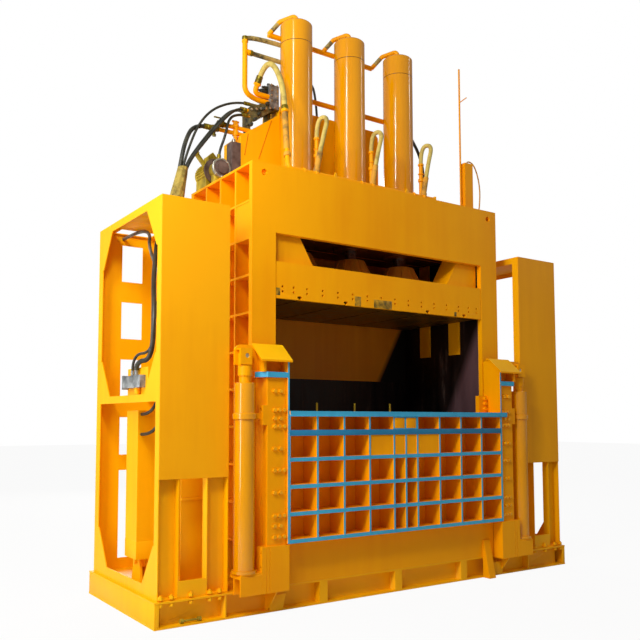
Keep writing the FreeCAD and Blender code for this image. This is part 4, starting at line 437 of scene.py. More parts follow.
def plate_copy(name, edge=3.0, finish=paint, accents=(), merge_flat=True):
    """Shows a node with broken edges; accents holds (finish, test of a face's centre in mm and normal)."""
    shape = bmesh.new()
    shape.from_mesh(nodes[name].data)
    bmesh.ops.remove_doubles(shape, verts=shape.verts, dist=WELD * MM)
    if merge_flat:
        bmesh.ops.dissolve_limit(shape, angle_limit=FLAT, verts=shape.verts, edges=shape.edges)
    for face in shape.faces:
        centre = face.calc_center_median() / MM
        for index, (_, test) in enumerate(accents, start=1):
            if test(centre, face.normal):
                face.material_index = index
    mesh = bpy.data.meshes.new(name + "_plates")
    shape.to_mesh(mesh)
    shape.free()
    mesh.shade_smooth()
    mesh.set_sharp_from_angle(angle=CREASE)
    for material in (finish, *[accent for accent, _ in accents]):
        mesh.materials.append(material)
    piece = bpy.data.objects.new(name + "_plates", mesh)
    bevel = piece.modifiers.new("broken_edge", "BEVEL")
    bevel.width = edge * MM
    bevel.segments = 2
    bevel.limit_method = "ANGLE"
    bevel.angle_limit = BEVEL_FROM
    bevel.harden_normals = True
    print(piece.name, len(mesh.polygons), "faces")
    return settle(piece, node_body[name], node_slot[name], name)


# %% [markdown]
# The gate is a grid of rails and webs. Only the edges that meet the eye first were brushed blue: the front
# ends of the grid, the top of the lip that stands proud of it, and the rims of the shelves under the lifting
# arms. Blue strips laid over the edges would look thick, so the faces themselves take the second finish.

# %% Gate and lifting arms
GATE_FACE = lowest("gate_side_plates").y
SHELF_LOW = lowest("lift_arm_left").z
SHELF_THICK = 48
GATE_TOP = 1541.5


def gate_edge(centre, normal):
    """The front ends of rails and webs."""
    return normal.y < -0.9 and centre.y < GATE_FACE + 0.5


def lip_edge(centre, normal):
    """The same, and the top of the lip that stands proud of the gate."""
    return gate_edge(centre, normal) or (normal.z > 0.9 and centre.y < GATE_FACE - 0.5)


def guide_peg(centre, normal):
    """The thin pegs that stand on the gate's top rail."""
    return centre.z > GATE_TOP and centre.x < 900


def shelf_edge(centre, normal):
    """The front rim of the thick shelf over a post."""
    return normal.y < -0.3 and centre.z < SHELF_LOW + SHELF_THICK


def hood_face(centre, normal):
    """The upward faces of the folded hood on top of a lifting arm, painted brighter as light."""
    return normal.z > 0.3 and centre.z > SHELF_LOW + SHELF_THICK + 5


plate_copy("gate_panel", 2.0, paint, [(blue_paint, lip_edge), (olive_zinc, guide_peg)])
plate_copy("gate_side_plates", 2.0, paint, [(blue_paint, gate_edge)])
for side in ("left", "right"):
    plate_copy(f"lift_arm_{side}", 3.0, paint, [(blue_paint, shelf_edge), (hood_painted_light, hood_face)])
    plate_copy(f"guide_post_{side}")
    plate_copy(f"cylinder_bracket_{side}")

# %% [markdown]
# The frame is five portal plates with a crosshead on top and walls between them, flanked by two towers of
# thinner plate. Thin sheet has a smaller broken edge than thick plate. With their faces merged, the base and
# the switch post come out of the bevel with folded corners, so these two keep their triangles.

# %% Frame, chamber and towers
HEAD_FLOOR_TOP = lowest("crosshead").z + 70
WALL_INSIDE = lowest("rear_wall").y


def wall_inside(centre, normal):
    """The side of the rear wall that closes the chamber."""
    return normal.y < -0.9 and centre.y < WALL_INSIDE + 9


def right_liner(centre, normal):
    """The liner on the chamber's right wall."""
    return centre.x > 1100


def under_head(centre, normal):
    """What hangs under the crosshead, painted near black as shade."""
    return centre.z < HEAD_FLOOR_TOP and abs(centre.x) < 1200


for side in ("left", "right"):
    plate_copy(f"tower_{side}", 2.0, sunlit_paint)
    plate_copy(f"tower_cover_{side}", 2.0, cover_paint)
    plate_copy(f"tower_column_{side}", 3.0, sunlit_paint)
    plate_copy(f"side_wall_{side}", 2.0)
    plate_copy(f"middle_portal_{side}", 2.0)
for name in ("front_portal", "second_portal", "fourth_portal", "rear_portal", "front_sill", "platen_guides"):
    plate_copy(name)
plate_copy("base_skid", 1.0, sunlit_paint, merge_flat=False)
plate_copy("switch_post", 1.0, merge_flat=False)
plate_copy("chamber_liners", 1.0, liner_steel, [(side_liner, right_liner)])
plate_copy("rear_wall", 2.0, paint, [(shadowed_rear_wall, wall_inside)])
plate_copy("crosshead", 3.0, paint, [(weld_and_shade_paint, under_head)])

# %% [markdown]
# The pressing unit is three thick tubes, each with a rod that ends in a cone on the platen. The tubes are
# turned, so their copies matter only for the rounded rims and for their ends under the crosshead, which are
# painted near black as shade.

# %% Pressing unit
plate_copy("platen")
for side in ("left", "middle", "right"):
    plate_copy(f"press_cylinder_{side}", 4.0, cylinder_paint, [(weld_and_shade_paint, under_head)])
    plate_copy(f"rod_cone_{side}", 3.0, cone_paint)

# %% [markdown]
# The blocks of the hydraulics are castings and bought parts in bare metal, bolted to painted plates. One
# node often holds both, and a test of place tells them apart.

# %% Tank, valves, pump and filter
def stack_face(centre, normal):
    """The grey valve body at the manifold's head."""
    return centre.x > -800 and centre.z > 4440


def knob_face(centre, normal):
    """The black knobs and plugs on the valve body."""
    return centre.z > 4615 or (centre.x < -798 and centre.z > 4500)


def valve_stand(centre, normal):
    """The painted plate and foot that hold the tower's valve."""
    return centre.x > -2159 or centre.z < 1700


def pump_casing(centre, normal):
    """The part of the pump behind its ring."""
    return centre.y > 165.9


plate_copy("oil_tank", 3.0, sunlit_paint)
plate_copy("valve_manifold", 4.0, manifold_iron, [(valve_iron, stack_face), (black_rubber, knob_face)])
plate_copy("tower_valve", 2.0, valve_iron, [(sunlit_paint, valve_stand)])
plate_copy("oil_pump", 3.0, filter_alloy, [(motor_enamel, pump_casing)])
plate_copy("filter_block", 6.0, filter_alloy)

# %% [markdown]
# Hydraulic hose is stiff: between two fittings it takes one long smooth arc. A hose could be a tube swept
# along straight runs and bends, but that looks like bent wire. So each one is a NURBS curve of low order,
# whose control points are those of its construction solid. Its length is measured on the smooth line and
# printed.

# %% Hoses as smooth curves
routes = {}


def spline_length(curve):
    """Length of the smooth line that a curve without thickness draws."""
    plain = bpy.data.objects.new("measured", curve)
    line = bpy.data.meshes.new_from_object(plain)
    points = [vertex.co.copy() for vertex in line.vertices]
    bpy.data.objects.remove(plain)
    bpy.data.meshes.remove(line)
    return sum((b - a).length for a, b in zip(points, points[1:]))


def hose(name, route, diameter, material, slot_name):
    """A hose along a route of places in millimetres."""
    curve = bpy.data.curves.new(name, "CURVE")
    curve.dimensions = "3D"
    curve.resolution_u = 16
    spline = curve.splines.new("NURBS")
    spline.points.add(len(route) - 1)
    for point, place in zip(spline.points, route):
        point.co = (*[value * MM for value in place], 1.0)
    spline.order_u = 3
    spline.use_endpoint_u = True
    length = spline_length(curve)
    curve.bevel_depth = diameter * MM / 2
    curve.bevel_resolution = 5
    curve.use_fill_caps = True
    curve.materials.append(material)
    piece = settle(bpy.data.objects.new(name, curve), "frame", slot_name)
    routes[name] = (diameter, route)
    print(f"{name}: {length:.3f} m long")


# %% [markdown]
# Five black hoses leave the valves on the deck. Four of them run down into the left tower, bound together in
# one sheath where they cross over, and the fifth feeds the pump.

# %% Control hoses
CONTROL_HOSES = {
    "valve_hose": (22, [
        (-968, 228, 4408), (-1130, 228, 4408), (-1480, 170, 4180), (-1684, 110, 3700), (-1740, 94, 3380),
        (-1880, 38, 3060), (-2010, -232, 2600), (-2125, -332, 2200), (-2135, -332, 1985), (-2182, -62, 1985),
        (-2182, -62, 1856)]),
    "upper_column_hose": (26, [
        (-1018, 242, 4335), (-1090, 242, 4335), (-1260, 140, 4225), (-1490, 138, 3930), (-1686, 100, 3640),
        (-1734, 84, 3380), (-1835, -2, 3060), (-1960, -322, 2600), (-2078, -367, 2050), (-2078, -357, 1515),
        (-2078, -12, 1515)]),
    "lower_column_hose": (26, [
        (-1018, 206, 4335), (-1085, 206, 4335), (-1250, 106, 4215), (-1470, 104, 3935), (-1676, 80, 3650),
        (-1724, 66, 3380), (-1820, -62, 3060), (-1930, -382, 2600), (-2040, -412, 2050), (-2045, -402, 1640),
        (-2078, -302, 1356), (-2078, -12, 1356)]),
    "return_hose": (38, [
        (-1390, 198, 4086), (-1540, 198, 4086), (-1655, 148, 3900), (-1716, 122, 3620), (-1766, 108, 3380),
        (-1930, 58, 3060), (-2060, -162, 2600), (-2150, -402, 2300), (-2160, -402, 1925), (-2182, -142, 1925),
        (-2182, -142, 1856)]),
    "pump_hose": (24, [
        (-1018, 178, 4270), (-1090, 178, 4270), (-1225, 148, 4200), (-1262, 144, 4020), (-1295, 204, 3880),
        (-1295, 204, 3810)]),
}
for name, (diameter, route) in CONTROL_HOSES.items():
    hose(name, route, diameter, black_rubber, "black_rubber")
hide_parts("control_hoses")

# %% [markdown]
# A grey hose hangs in the left tower, and a thick one in a woven sleeve arches from the valves over to the
# deck line in front.

# %% Grey hose and arch hose
hose("tower_conduit", [(-2000, 670, 3080), (-2000, 308, 3080), (-1904, 288, 3078), (-1940, 238, 2930),
                       (-1880, 98, 2640), (-1840, -282, 2300), (-1840, -600, 2300)],
     28, grey_rubber, "grey_rubber")
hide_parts("tower_hoses")
hose("arch_hose_sleeve", [(-937, 128, 4585), (-919, 59, 4721), (-900, -87, 4705), (-929, -306, 4386),
                          (-958, -372, 4147)],
     50, sleeve, "sheathed_rubber")
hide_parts("arch_hose")

# %% [markdown]
# Each pressing cylinder has a narrow loop at its foot and a short sleeve at its cap. The three are alike, so
# a loop places them across the machine. Two more sleeved hoses run level from the tall pipe at the left to
# the back of the left cylinder.

# %% Cylinder hoses
CYLINDER_PLACES = {"left": -622, "middle": 0, "right": 622}
SHEATHED = 42.5

for side, across in CYLINDER_PLACES.items():
    hose(f"cap_hose_{side}", [(across - 124, 82, 5186), (across - 144, 102, 5157), (across - 165, 123, 5126)],
         SHEATHED, worn_sleeve, "sheathed_rubber")
    hose(f"loop_hose_{side}", [(across, -372, 3960), (across, -372, 4143), (across + 45, -490, 4138),
                               (across - 20, -494, 3928), (across - 62, -508, 3778)],
         40, sleeve, "sheathed_rubber")
hose("upper_sheathed_hose", [(-1064, 148, 4970), (-1064, 148, 5027), (-569, 148, 5027)],
     SHEATHED, worn_sleeve, "sheathed_rubber")
hose("lower_sheathed_hose", [(-1012, 148, 4860), (-569, 148, 4860)], SHEATHED, worn_sleeve, "sheathed_rubber")
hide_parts("cylinder_hoses")

# %% [markdown]
# Two dark hoses show in part behind the pressing cylinders, and a thin cable runs from the limit switch post
# down to the deck. The cable is softer than a hose.

# %% Rear hoses and switch cable
hose("rear_hose_left", [(-560, 88, 4700), (-420, 330, 4860), (-160, 390, 4900), (-96, 390, 4740),
                        (-78, 390, 4428)],
     24, black_rubber, "black_rubber")
hose("rear_hose_right", [(700, 78, 4560), (900, 240, 4600), (1090, 298, 4570), (1262, 298, 4330),
                         (1290, 298, 4050), (1190, 298, 3830), (1180, 298, 3552)],
     34, black_rubber, "black_rubber")
hose("switch_cable", [(1225, -402, 4071), (1225, -402, 4112), (1330, -402, 4095), (1404, -402, 3930),
                      (1416, -402, 3720), (1380, -402, 3552)],
     13, spattered_sleeve, "grey_rubber")

# %% [markdown]
# The small pieces are the ones that a fitter screws on last: nuts, ferrules, valves, knobs and trim. Each
# shape is made by one operator about the origin, cleaned, and moved to its place in the mesh, so that the
# finished object stays at the origin. Pieces that share a finish and a carrier are gathered in one mesh,
# because a spare-parts list would name them as one set.

# %% Gathering small shapes
def aim(base, axis):
    """Turns +Z to an axis and moves the origin to a place in millimetres."""
    turn = Vector(axis).to_track_quat("Z", "Y").to_matrix().to_4x4()
    return Matrix.Translation(Vector(base) * MM) @ turn


def break_edges(part, edge):
    """Takes so many millimetres off every edge, in two steps."""
    bmesh.ops.bevel(part, geom=part.edges[:], offset=edge * MM, affect="EDGES", segments=2, profile=0.5,
                    material=-1)


def gather(group, part, place):
    """Closes a finished shape, moves it to its place and adds it to a group."""
    bmesh.ops.remove_doubles(part, verts=part.verts, dist=0.01 * MM)
    bmesh.ops.recalc_face_normals(part, faces=part.faces)
    bmesh.ops.transform(part, matrix=place, verts=part.verts)
    mesh = bpy.data.meshes.new("part")
    part.to_mesh(mesh)
    part.free()
    group.from_mesh(mesh)
    bpy.data.meshes.remove(mesh)


def finish_group(name, group, material, slot_name, body="frame"):
    """Makes one piece of a group and settles it."""
    mesh = bpy.data.meshes.new(name)
    group.to_mesh(mesh)
    group.free()
    mesh.shade_smooth()
    mesh.set_sharp_from_angle(angle=math.radians(35))
    mesh.materials.append(material)
    print(name, len(mesh.polygons), "faces")
    return settle(bpy.data.objects.new(name, mesh), body, slot_name)


# %% [markdown]
# Most fittings are turned on a lathe. Spin does what the lathe does: it turns half of the outline about an
# axis. Hexagon nuts are a six-sided cone with equal ends, and their edges are broken like the plates'.

# %% Turned shapes and nuts
def turned(group, base, axis, profile, steps=24):
    """Spins (radius, height) points in millimetres about an axis through the base."""
    part = bmesh.new()
    corners = [part.verts.new((radius * MM, 0, height * MM)) for radius, height in profile]
    edges = [part.edges.new(pair) for pair in zip(corners, corners[1:])]
    bmesh.ops.spin(part, geom=corners + edges, cent=(0, 0, 0), axis=(0, 0, 1), angle=math.tau, steps=steps,
                   use_merge=True)
    gather(group, part, aim(base, axis))


def ring(group, base, axis, inner, outer, length, soft=1.5):
    """A collar with softened outer edges."""
    turned(group, base, axis, [(inner, 0), (outer - soft, 0), (outer, soft), (outer, length - soft),
                               (outer - soft, length), (inner, length), (inner, 0)], 32)


def hexagon(group, base, axis, across, length, edge=2.0):
    """A hexagon nut, measured across its flats."""
    part = bmesh.new()
    corner = across / math.sqrt(3) * MM
    bmesh.ops.create_cone(part, cap_ends=True, segments=6, radius1=corner, radius2=corner, depth=length * MM)
    break_edges(part, edge)
    bmesh.ops.translate(part, vec=(0, 0, length * MM / 2), verts=part.verts)
    gather(group, part, aim(base, axis))


def screw_circle(group, centre, radius, count, axis, across, length):
    """Screw heads evenly round a circle that stands upright and faces along Y."""
    for number in range(count):
        angle = math.tau * number / count
        place = Vector(centre) + radius * Vector((math.cos(angle), 0, math.sin(angle)))
        hexagon(group, place, axis, across, length, 1)


# %% [markdown]
# Each hose end is swaged: a ferrule is pressed over the hose, with a groove where the jaws gripped it, and a
# nut screws it to the pipe. The nuts and two ferrules were sprayed over with the machine, the others stayed
# plated. Place and size come from the hose's own route, so an end can't leave its hose.

# %% Hose ends
nuts = bmesh.new()
sprayed_ferrules = bmesh.new()
plated_ferrules = bmesh.new()
LEVEL = (-1, 0, 0)  # most hoses leave their fitting level, to the machine's left
FERRULES = [
    ("arch_hose_sleeve", 0, (11, -43, 85), plated_ferrules, 60),
    ("arch_hose_sleeve", -1, (58, 132, 479), plated_ferrules, 40),
    ("rear_hose_left", 0, (140, 234, 160), plated_ferrules, 36),
    ("rear_hose_right", 0, (200, 156, 40), plated_ferrules, 40),
    ("upper_sheathed_hose", 0, (0, 0, 1), plated_ferrules, 30),
    ("upper_sheathed_hose", -1, LEVEL, sprayed_ferrules, 52),
    ("lower_sheathed_hose", 0, (1, 0, 0), plated_ferrules, 24),
    ("lower_sheathed_hose", -1, LEVEL, sprayed_ferrules, 52),
    ("valve_hose", 0, LEVEL, plated_ferrules, 58), ("upper_column_hose", 0, LEVEL, plated_ferrules, 58),
    ("lower_column_hose", 0, LEVEL, plated_ferrules, 58), ("pump_hose", 0, LEVEL, plated_ferrules, 58),
    ("return_hose", 0, LEVEL, plated_ferrules, 60), ("pump_hose", -1, (0, 0, 1), plated_ferrules, 46),
]


def hose_end(name, end, inward, ferrules, length):
    """A nut on the pipe's side of the first (0) or last (-1) end, and a ferrule inward along the hose."""
    diameter, route = routes[name]
    place, inward = Vector(route[end]), Vector(inward).normalized()
    radius = diameter // 2  # whole millimetres, as fittings are stocked
    hexagon(nuts, place - inward * 26, inward, radius * 2.5, 24)
    turned(ferrules, place, inward, [
        (radius * 0.9, -3), (radius + 6, -3), (radius + 7, 4), (radius + 7, length * 0.45),
        (radius + 4, length * 0.5), (radius + 7, length * 0.56), (radius + 6, length),
        (radius * 0.9, length + 5)])


for ferrule in FERRULES:
    hose_end(*ferrule)
finish_group("hose_nuts", nuts, paint, "machine_paint")
finish_group("hose_ferrules", sprayed_ferrules, shaded_paint, "machine_paint")
finish_group("plated_hose_ends", plated_ferrules, olive_zinc, "bare_iron")

# %% [markdown]
# Sleeves of the same woven tape are pulled over the rigid pipes where the loops and the arch rub on them,
# and the upright pipes and the deck line carry welded collars. Both are rings along the pipe's direction.

# %% Sleeves and collars on the pipes
LOOP_PIPE = (-56, -18, -200)  # direction of the pipe under a loop
ARCH_PIPE = (-48, -109, -402)  # direction of the pipe under the arch
LINE_Y, LINE_HEIGHT = -526, 3578  # the deck line
UPRIGHT_Y = -372

pipe_sleeves = bmesh.new()
collars = bmesh.new()
for across in CYLINDER_PLACES.values():
    ring(pipe_sleeves, (across - 60, -507, 3786), LOOP_PIPE, 19, 25, 180, 2)
    ring(pipe_sleeves, (across - 105, -522, 3624), LOOP_PIPE, 19, 30, 36, 3)
    for height, tall in ((3950, 20), (3862, 12), (3790, 30), (3556, 18)):
        ring(collars, (across, UPRIGHT_Y, height), (0, 0, 1), 18, 28, tall, 3)
    ring(collars, (across - 132, LINE_Y, LINE_HEIGHT), (1, 0, 0), 20, 31, 30, 3)
    ring(collars, (across - 250, LINE_Y, LINE_HEIGHT), (1, 0, 0), 20, 30, 16, 3)
ring(pipe_sleeves, (-960, -377, 4120), ARCH_PIPE, 20, 26, 380, 2)
ring(pipe_sleeves, (-1009, -489, 3722), ARCH_PIPE, 20, 31, 36, 3)
finish_group("pipe_sleeves", pipe_sleeves, spattered_sleeve, "sheathed_rubber")
finish_group("pipe_collars", collars, paint, "machine_paint")

# %% [markdown]
# Plates and blocks are a cube or an outline with its edges broken. An outline that isn't square is drawn as
# one face and pushed to its thickness by an extrusion. What stands on both sides of the machine is made by
# one call for the two, so that they can't differ.

# %% Blocks and cut plates
def slab(group, low, high, edge=2.0, turn=None):
    """A block between two corners in millimetres, turned about its own middle if a turn is given."""
    low, high = Vector(low) * MM, Vector(high) * MM
    part = bmesh.new()
    bmesh.ops.create_cube(part, size=1)
    bmesh.ops.scale(part, vec=high - low, verts=part.verts)
    break_edges(part, edge)
    gather(group, part, Matrix.Translation((low + high) / 2) @ (turn or Matrix.Identity(4)))


def slab_pair(group, low, high, edge=2.0):
    """The same block on the right of the machine and, mirrored, on its left."""
    slab(group, low, high, edge)
    slab(group, (-high[0], *low[1:]), (-low[0], *high[1:]), edge)


def cut_plate(group, outline, front, thick, edge=1.5):
    """An upright plate with an outline of (across, height) points, from its front face to the back."""
    part = bmesh.new()
    corners = [part.verts.new(Vector((across, front, height)) * MM) for across, height in outline]
    grown = bmesh.ops.extrude_face_region(part, geom=[part.faces.new(corners)])["geom"]
    back = [item for item in grown if isinstance(item, bmesh.types.BMVert)]
    bmesh.ops.translate(part, vec=(0, thick * MM, 0), verts=back)
    bmesh.ops.recalc_face_normals(part, faces=part.faces)
    break_edges(part, edge)
    gather(group, part, Matrix.Identity(4))


# %% [markdown]
# A dark weld runs round each pressing cylinder a little under its cap. Three ground welds cross the front of
# the tank, whose sides are folded from several sheets. A weld could be a line in the material, but a bead
# catches the light along its edge, so each is a thin ring or strip that stands a little proud.

# %% Welds on the cylinders and the tank
CYLINDER_Y = -43
CYLINDER_RADIUS = 149.5
CAP_WELD = highest("press_cylinder_left").z - 206
TANK_FRONT = lowest("oil_tank").y
TANK_WELDS = (((-779, 4271), (-917, 3874)), ((-690, 4377), (-674, 3860)), ((-1030, 4090), (-1066, 3882)))
TANK_WELD_WIDE = 9

cap_welds = bmesh.new()
for across in CYLINDER_PLACES.values():
    ring(cap_welds, (across, CYLINDER_Y, CAP_WELD), (0, 0, 1), CYLINDER_RADIUS - 2.5,
         CYLINDER_RADIUS + 0.8, 6, 0.5)
finish_group("cylinder_welds", cap_welds, weld_and_shade_paint, "machine_paint")
tank_welds = bmesh.new()
for (top_x, top_z), (foot_x, foot_z) in TANK_WELDS:
    cut_plate(tank_welds, [(top_x, top_z), (top_x + TANK_WELD_WIDE, top_z), (foot_x + TANK_WELD_WIDE, foot_z),
                           (foot_x, foot_z)], TANK_FRONT - 2.5, 3.5, 0.8)
finish_group("tank_seams", tank_welds, shaded_paint, "machine_paint")

# %% [markdown]
# The outer end of each return line carries a plated ball valve, the upper one with its lever and the lower
# one with a drain, and an upright check valve in machine enamel joins the two lines. Valves of this kind are
# turned parts screwed into each other, so each is a stack of turned outlines and nuts.

# %% Valves on the return lines
RETURN_Y = 198
CHECK_ACROSS = -1130

valves = bmesh.new()
for across, height in ((-1318, 4141), (-1392, 4086)):
    hexagon(valves, (across, RETURN_Y, height), (1, 0, 0), 50, 22)
    turned(valves, (across + 18, RETURN_Y, height), (1, 0, 0),
           [(0, 0), (27, 0), (31, 8), (31, 44), (27, 52), (0, 52)])
    hexagon(valves, (across + 66, RETURN_Y, height), (1, 0, 0), 46, 20)
turned(valves, (-1284, RETURN_Y, 4166), (0, 0, 1), [(0, 0), (9, 0), (9, 26), (0, 26)])
slab(valves, (-1350, RETURN_Y - 8, 4188), (-1270, RETURN_Y + 8, 4200), 3)
turned(valves, (-1348, RETURN_Y, 4060), (0, 0, -1),
       [(0, 0), (12, 0), (12, 26), (18, 30), (18, 46), (0, 46)])
finish_group("return_line_valves", valves, olive_zinc, "bare_iron")

check = bmesh.new()
turned(check, (CHECK_ACROSS, RETURN_Y, 4044), (0, 0, 1),
       [(0, 0), (19, 0), (19, 16), (30, 20), (30, 60), (24, 66), (24, 92), (31, 98), (31, 122), (22, 128),
        (22, 140), (0, 140)])
hexagon(check, (CHECK_ACROSS, RETURN_Y, 4178), (0, 0, 1), 40, 22)
slab(check, (CHECK_ACROSS - 36, RETURN_Y - 8, 4186), (CHECK_ACROSS + 36, RETURN_Y + 8, 4204), 4)
turned(check, (CHECK_ACROSS, RETURN_Y - 2, 4006), (0, 0, 1), [(0, 0), (13, 0), (13, 42), (0, 42)])
finish_group("check_valve", check, paint, "machine_paint")

# %% [markdown]
# The valve manifold is crowded with solenoid coils, short black cylinders with a plug at the end, and with
# the zinc plated screws that hold the valve bodies. Rows of equal pieces come from loops.

# %% Coils and screws on the valve manifold
MANIFOLD_FRONT = lowest("valve_manifold").y

coils = bmesh.new()
for number in range(4):
    for back in (186, 262):
        turned(coils, (-800, back, 4470 + 40 * number), (-1, 0, 0),
               [(0, 0), (16, 0), (16, 34), (10, 38), (10, 58), (0, 60)], 16)
for number in range(5):
    turned(coils, (-1000 + 44 * number, MANIFOLD_FRONT, 4180 + 60 * number), (0, -1, 0),
           [(0, 0), (17, 0), (17, 22), (9, 26), (9, 40), (0, 40)], 16)
finish_group("valve_coils", coils, black_rubber, "bare_iron")
screws = bmesh.new()
for number in range(4):
    for across in (-776, -712):
        hexagon(screws, (across, MANIFOLD_FRONT, 4466 + 50 * number), (0, -1, 0), 18, 9, 1)
for number in range(6):
    hexagon(screws, (-990 + 50 * number, MANIFOLD_FRONT, 4330 + 14 * number), (0, -1, 0), 20, 12, 1)
finish_group("valve_screws", screws, bright_zinc, "bare_iron")

# %% [markdown]
# The motor group stands at the deck's left end: a small cast motor with cooling fins, a junction box stood
# on its corner and a suction elbow, a flange with ten screws, and the pump with a bright ring. The filter
# beside it has a bare cap. The fins are thin slabs turned about the motor's axis.

# %% Motor, flange, pump ring and filter cap
MOTOR_ACROSS, MOTOR_HEIGHT = -1295, 3718  # the shared axis of motor and pump, which runs along Y
FIN_COUNT = 28
FIN_RADIUS = 99
FIN_HALF = Vector((7, 88, 2))

motor = bmesh.new()
for number in range(FIN_COUNT):
    angle = math.tau * number / FIN_COUNT
    centre = Vector((MOTOR_ACROSS, 390, MOTOR_HEIGHT))
    centre += FIN_RADIUS * Vector((math.cos(angle), 0, math.sin(angle)))
    slab(motor, centre - FIN_HALF, centre + FIN_HALF, 1, Matrix.Rotation(-angle, 4, "Y"))
slab(motor, (-1300, 372, 3858), (-1236, 436, 3922), 4, Matrix.Rotation(math.radians(45), 4, "Y"))
turned(motor, (-1340, 405, 3806), (-97, 0, 111),
       [(0, 0), (22, 0), (22, 112), (30, 116), (30, 146), (20, 150), (20, 142), (0, 140)])
finish_group("motor_fins_and_box", motor, motor_enamel, "machine_paint")

flange = bmesh.new()
ring(flange, (MOTOR_ACROSS, 262, MOTOR_HEIGHT), (0, 1, 0), 60, 116, 14, 3)
screw_circle(flange, (MOTOR_ACROSS, 276, MOTOR_HEIGHT), 104, 10, (0, 1, 0), 15, 10)
finish_group("motor_flange_ring", flange, filter_alloy, "bare_iron")

bright = bmesh.new()
filter_top = (lowest("filter_block") + highest("filter_block")) / 2
filter_top.z = highest("filter_block").z - 36
turned(bright, filter_top, (0, 0, 1), [(0, 0), (30, 0), (30, 8), (20, 14), (20, 34), (14, 44), (0, 46)])
ring(bright, (MOTOR_ACROSS, 168, MOTOR_HEIGHT), (0, -1, 0), 74, 91, 26, 3)
screw_circle(bright, (MOTOR_ACROSS, 142, MOTOR_HEIGHT), 80, 8, (0, -1, 0), 13, 8)
finish_group("filter_cap_and_pump_ring", bright, bright_zinc, "bare_iron")

# %% [markdown]
# Where the hoses leave the deck for the left tower they are laced into a split sheath of khaki canvas. Cloth
# wrapped round a bundle falls into upright folds. The sheath is a tapered tube: rings of points pushed in
# and out along the folds are bridged, Solidify gives the cloth its wall, and Subdivision rounds the folds.

# %% Canvas sheath
SHEATH_RINGS = [(3636, -1698, 96, 40, 44), (3600, -1702, 96, 46, 50), (3540, -1714, 94, 50, 54),
                (3470, -1730, 92, 54, 58), (3400, -1746, 88, 60, 60), (3350, -1758, 84, 62, 60)]
FOLDS = 9
FOLD_DEPTH = 0.05  # share of the ring's radius
FOLD_TWIST = 0.9  # radians from ring to ring
CLOTH_THICK = 3

shape = bmesh.new()
rings = []
for number, (height, across, back, wide, deep) in enumerate(SHEATH_RINGS):
    corners = bmesh.ops.create_circle(shape, cap_ends=False, segments=40, radius=1)["verts"]
    for corner in corners:
        x, y, _ = corner.co
        fold = 1 + FOLD_DEPTH * math.sin(FOLDS * math.atan2(y, x) + FOLD_TWIST * number)
        corner.co = Vector((across + wide * x * fold, back + deep * y * fold, height)) * MM
    rings.append(corners)
hoops = shape.edges[:]
for upper, lower in zip(rings, rings[1:]):
    both = set(upper) | set(lower)
    bmesh.ops.bridge_loops(shape, edges=[edge for edge in hoops if set(edge.verts) <= both])
bmesh.ops.recalc_face_normals(shape, faces=shape.faces)
mesh = bpy.data.meshes.new("canvas_sheath")
shape.to_mesh(mesh)
shape.free()
mesh.shade_smooth()
mesh.materials.append(canvas)
sheath = settle(bpy.data.objects.new("canvas_sheath", mesh), "frame", "sheathed_rubber")
wall = sheath.modifiers.new("cloth", "SOLIDIFY")
wall.thickness = CLOTH_THICK * MM
round_folds = sheath.modifiers.new("folds", "SUBSURF")
round_folds.levels = round_folds.render_levels = 2
print("canvas_sheath", len(mesh.polygons), "faces")

# %% [markdown]
# The gate's front carries three pieces of trim: a blue strip along the lip, a thicker second rail in a
# deeper blue, and two plates that close the narrow cells over the latch. They ride on the gate, and their
# places come from its box and its face.

# %% Trim on the gate
GATE_LOW, GATE_HIGH = lowest("gate_panel"), highest("gate_panel")

lip = bmesh.new()
slab(lip, (GATE_LOW.x - 1, GATE_LOW.y - 0.5, 1497), (GATE_HIGH.x - 1, GATE_FACE - 0.2, 1512), 1.5)
finish_group("gate_lip_strip", lip, blue_paint, "gate_paint", "gate")
rail = bmesh.new()
slab(rail, (GATE_LOW.x + 1, GATE_FACE - 3, 1346), (-GATE_LOW.x - 1, GATE_FACE - 0.2, 1392), 1)
finish_group("gate_second_rail", rail, deep_blue_paint, "gate_paint", "gate")
cells = bmesh.new()
for start, end in ((-126, -16), (4, 116)):
    slab(cells, (start, GATE_FACE - 1.2, 1400), (end, GATE_FACE + 3, 1489), 0.8)
finish_group("gate_cell_plates", cells, paint, "gate_paint", "gate")

# %% [markdown]
# Straps have rubbed the paint off the platen's lower edge in four places, down to an olive primer. A patch
# inside the material would need its four borders built from nodes, so each place is a thin skin a few tenths
# of a millimetre proud, and rides on the platen. A filler piece carries each of its ears out to the guides.

# %% Worn places and filler pieces on the platen
PLATEN_LOW, PLATEN_HIGH = lowest("platen"), highest("platen")
WORN_PLACES = ((-379, -312, 2457, 2541), (-166, 40, 2457, 2532), (-1183, -1146, 2480, 2540),
               (820, 850, 2457, 2500))

bare = bmesh.new()
for start, end, foot, top in WORN_PLACES:
    slab(bare, (start, PLATEN_LOW.y - 0.4, foot), (end, PLATEN_LOW.y + 2, top), 0.1)
finish_group("platen_worn_places", bare, worn_primer, "machine_paint", "platen_assembly")
fillers = bmesh.new()
slab_pair(fillers, (PLATEN_HIGH.x - 63, -540, 2750), (PLATEN_HIGH.x - 3, -512, PLATEN_HIGH.z - 2), 1)
finish_group("platen_ear_fillers", fillers, paint, "machine_paint", "platen_assembly")

# %% [markdown]
# Small welded plates finish the frame: two lugs and a clamp on the deck, a gusset under each guide post, the
# towers' roofs, the plates behind their lower posts with a ledge, the skirts of their columns, the plates
# that close the ends of the base, and the foot bolts. The hoses go down through the left roof, so it is four
# strips round a hole, and the right one is whole.

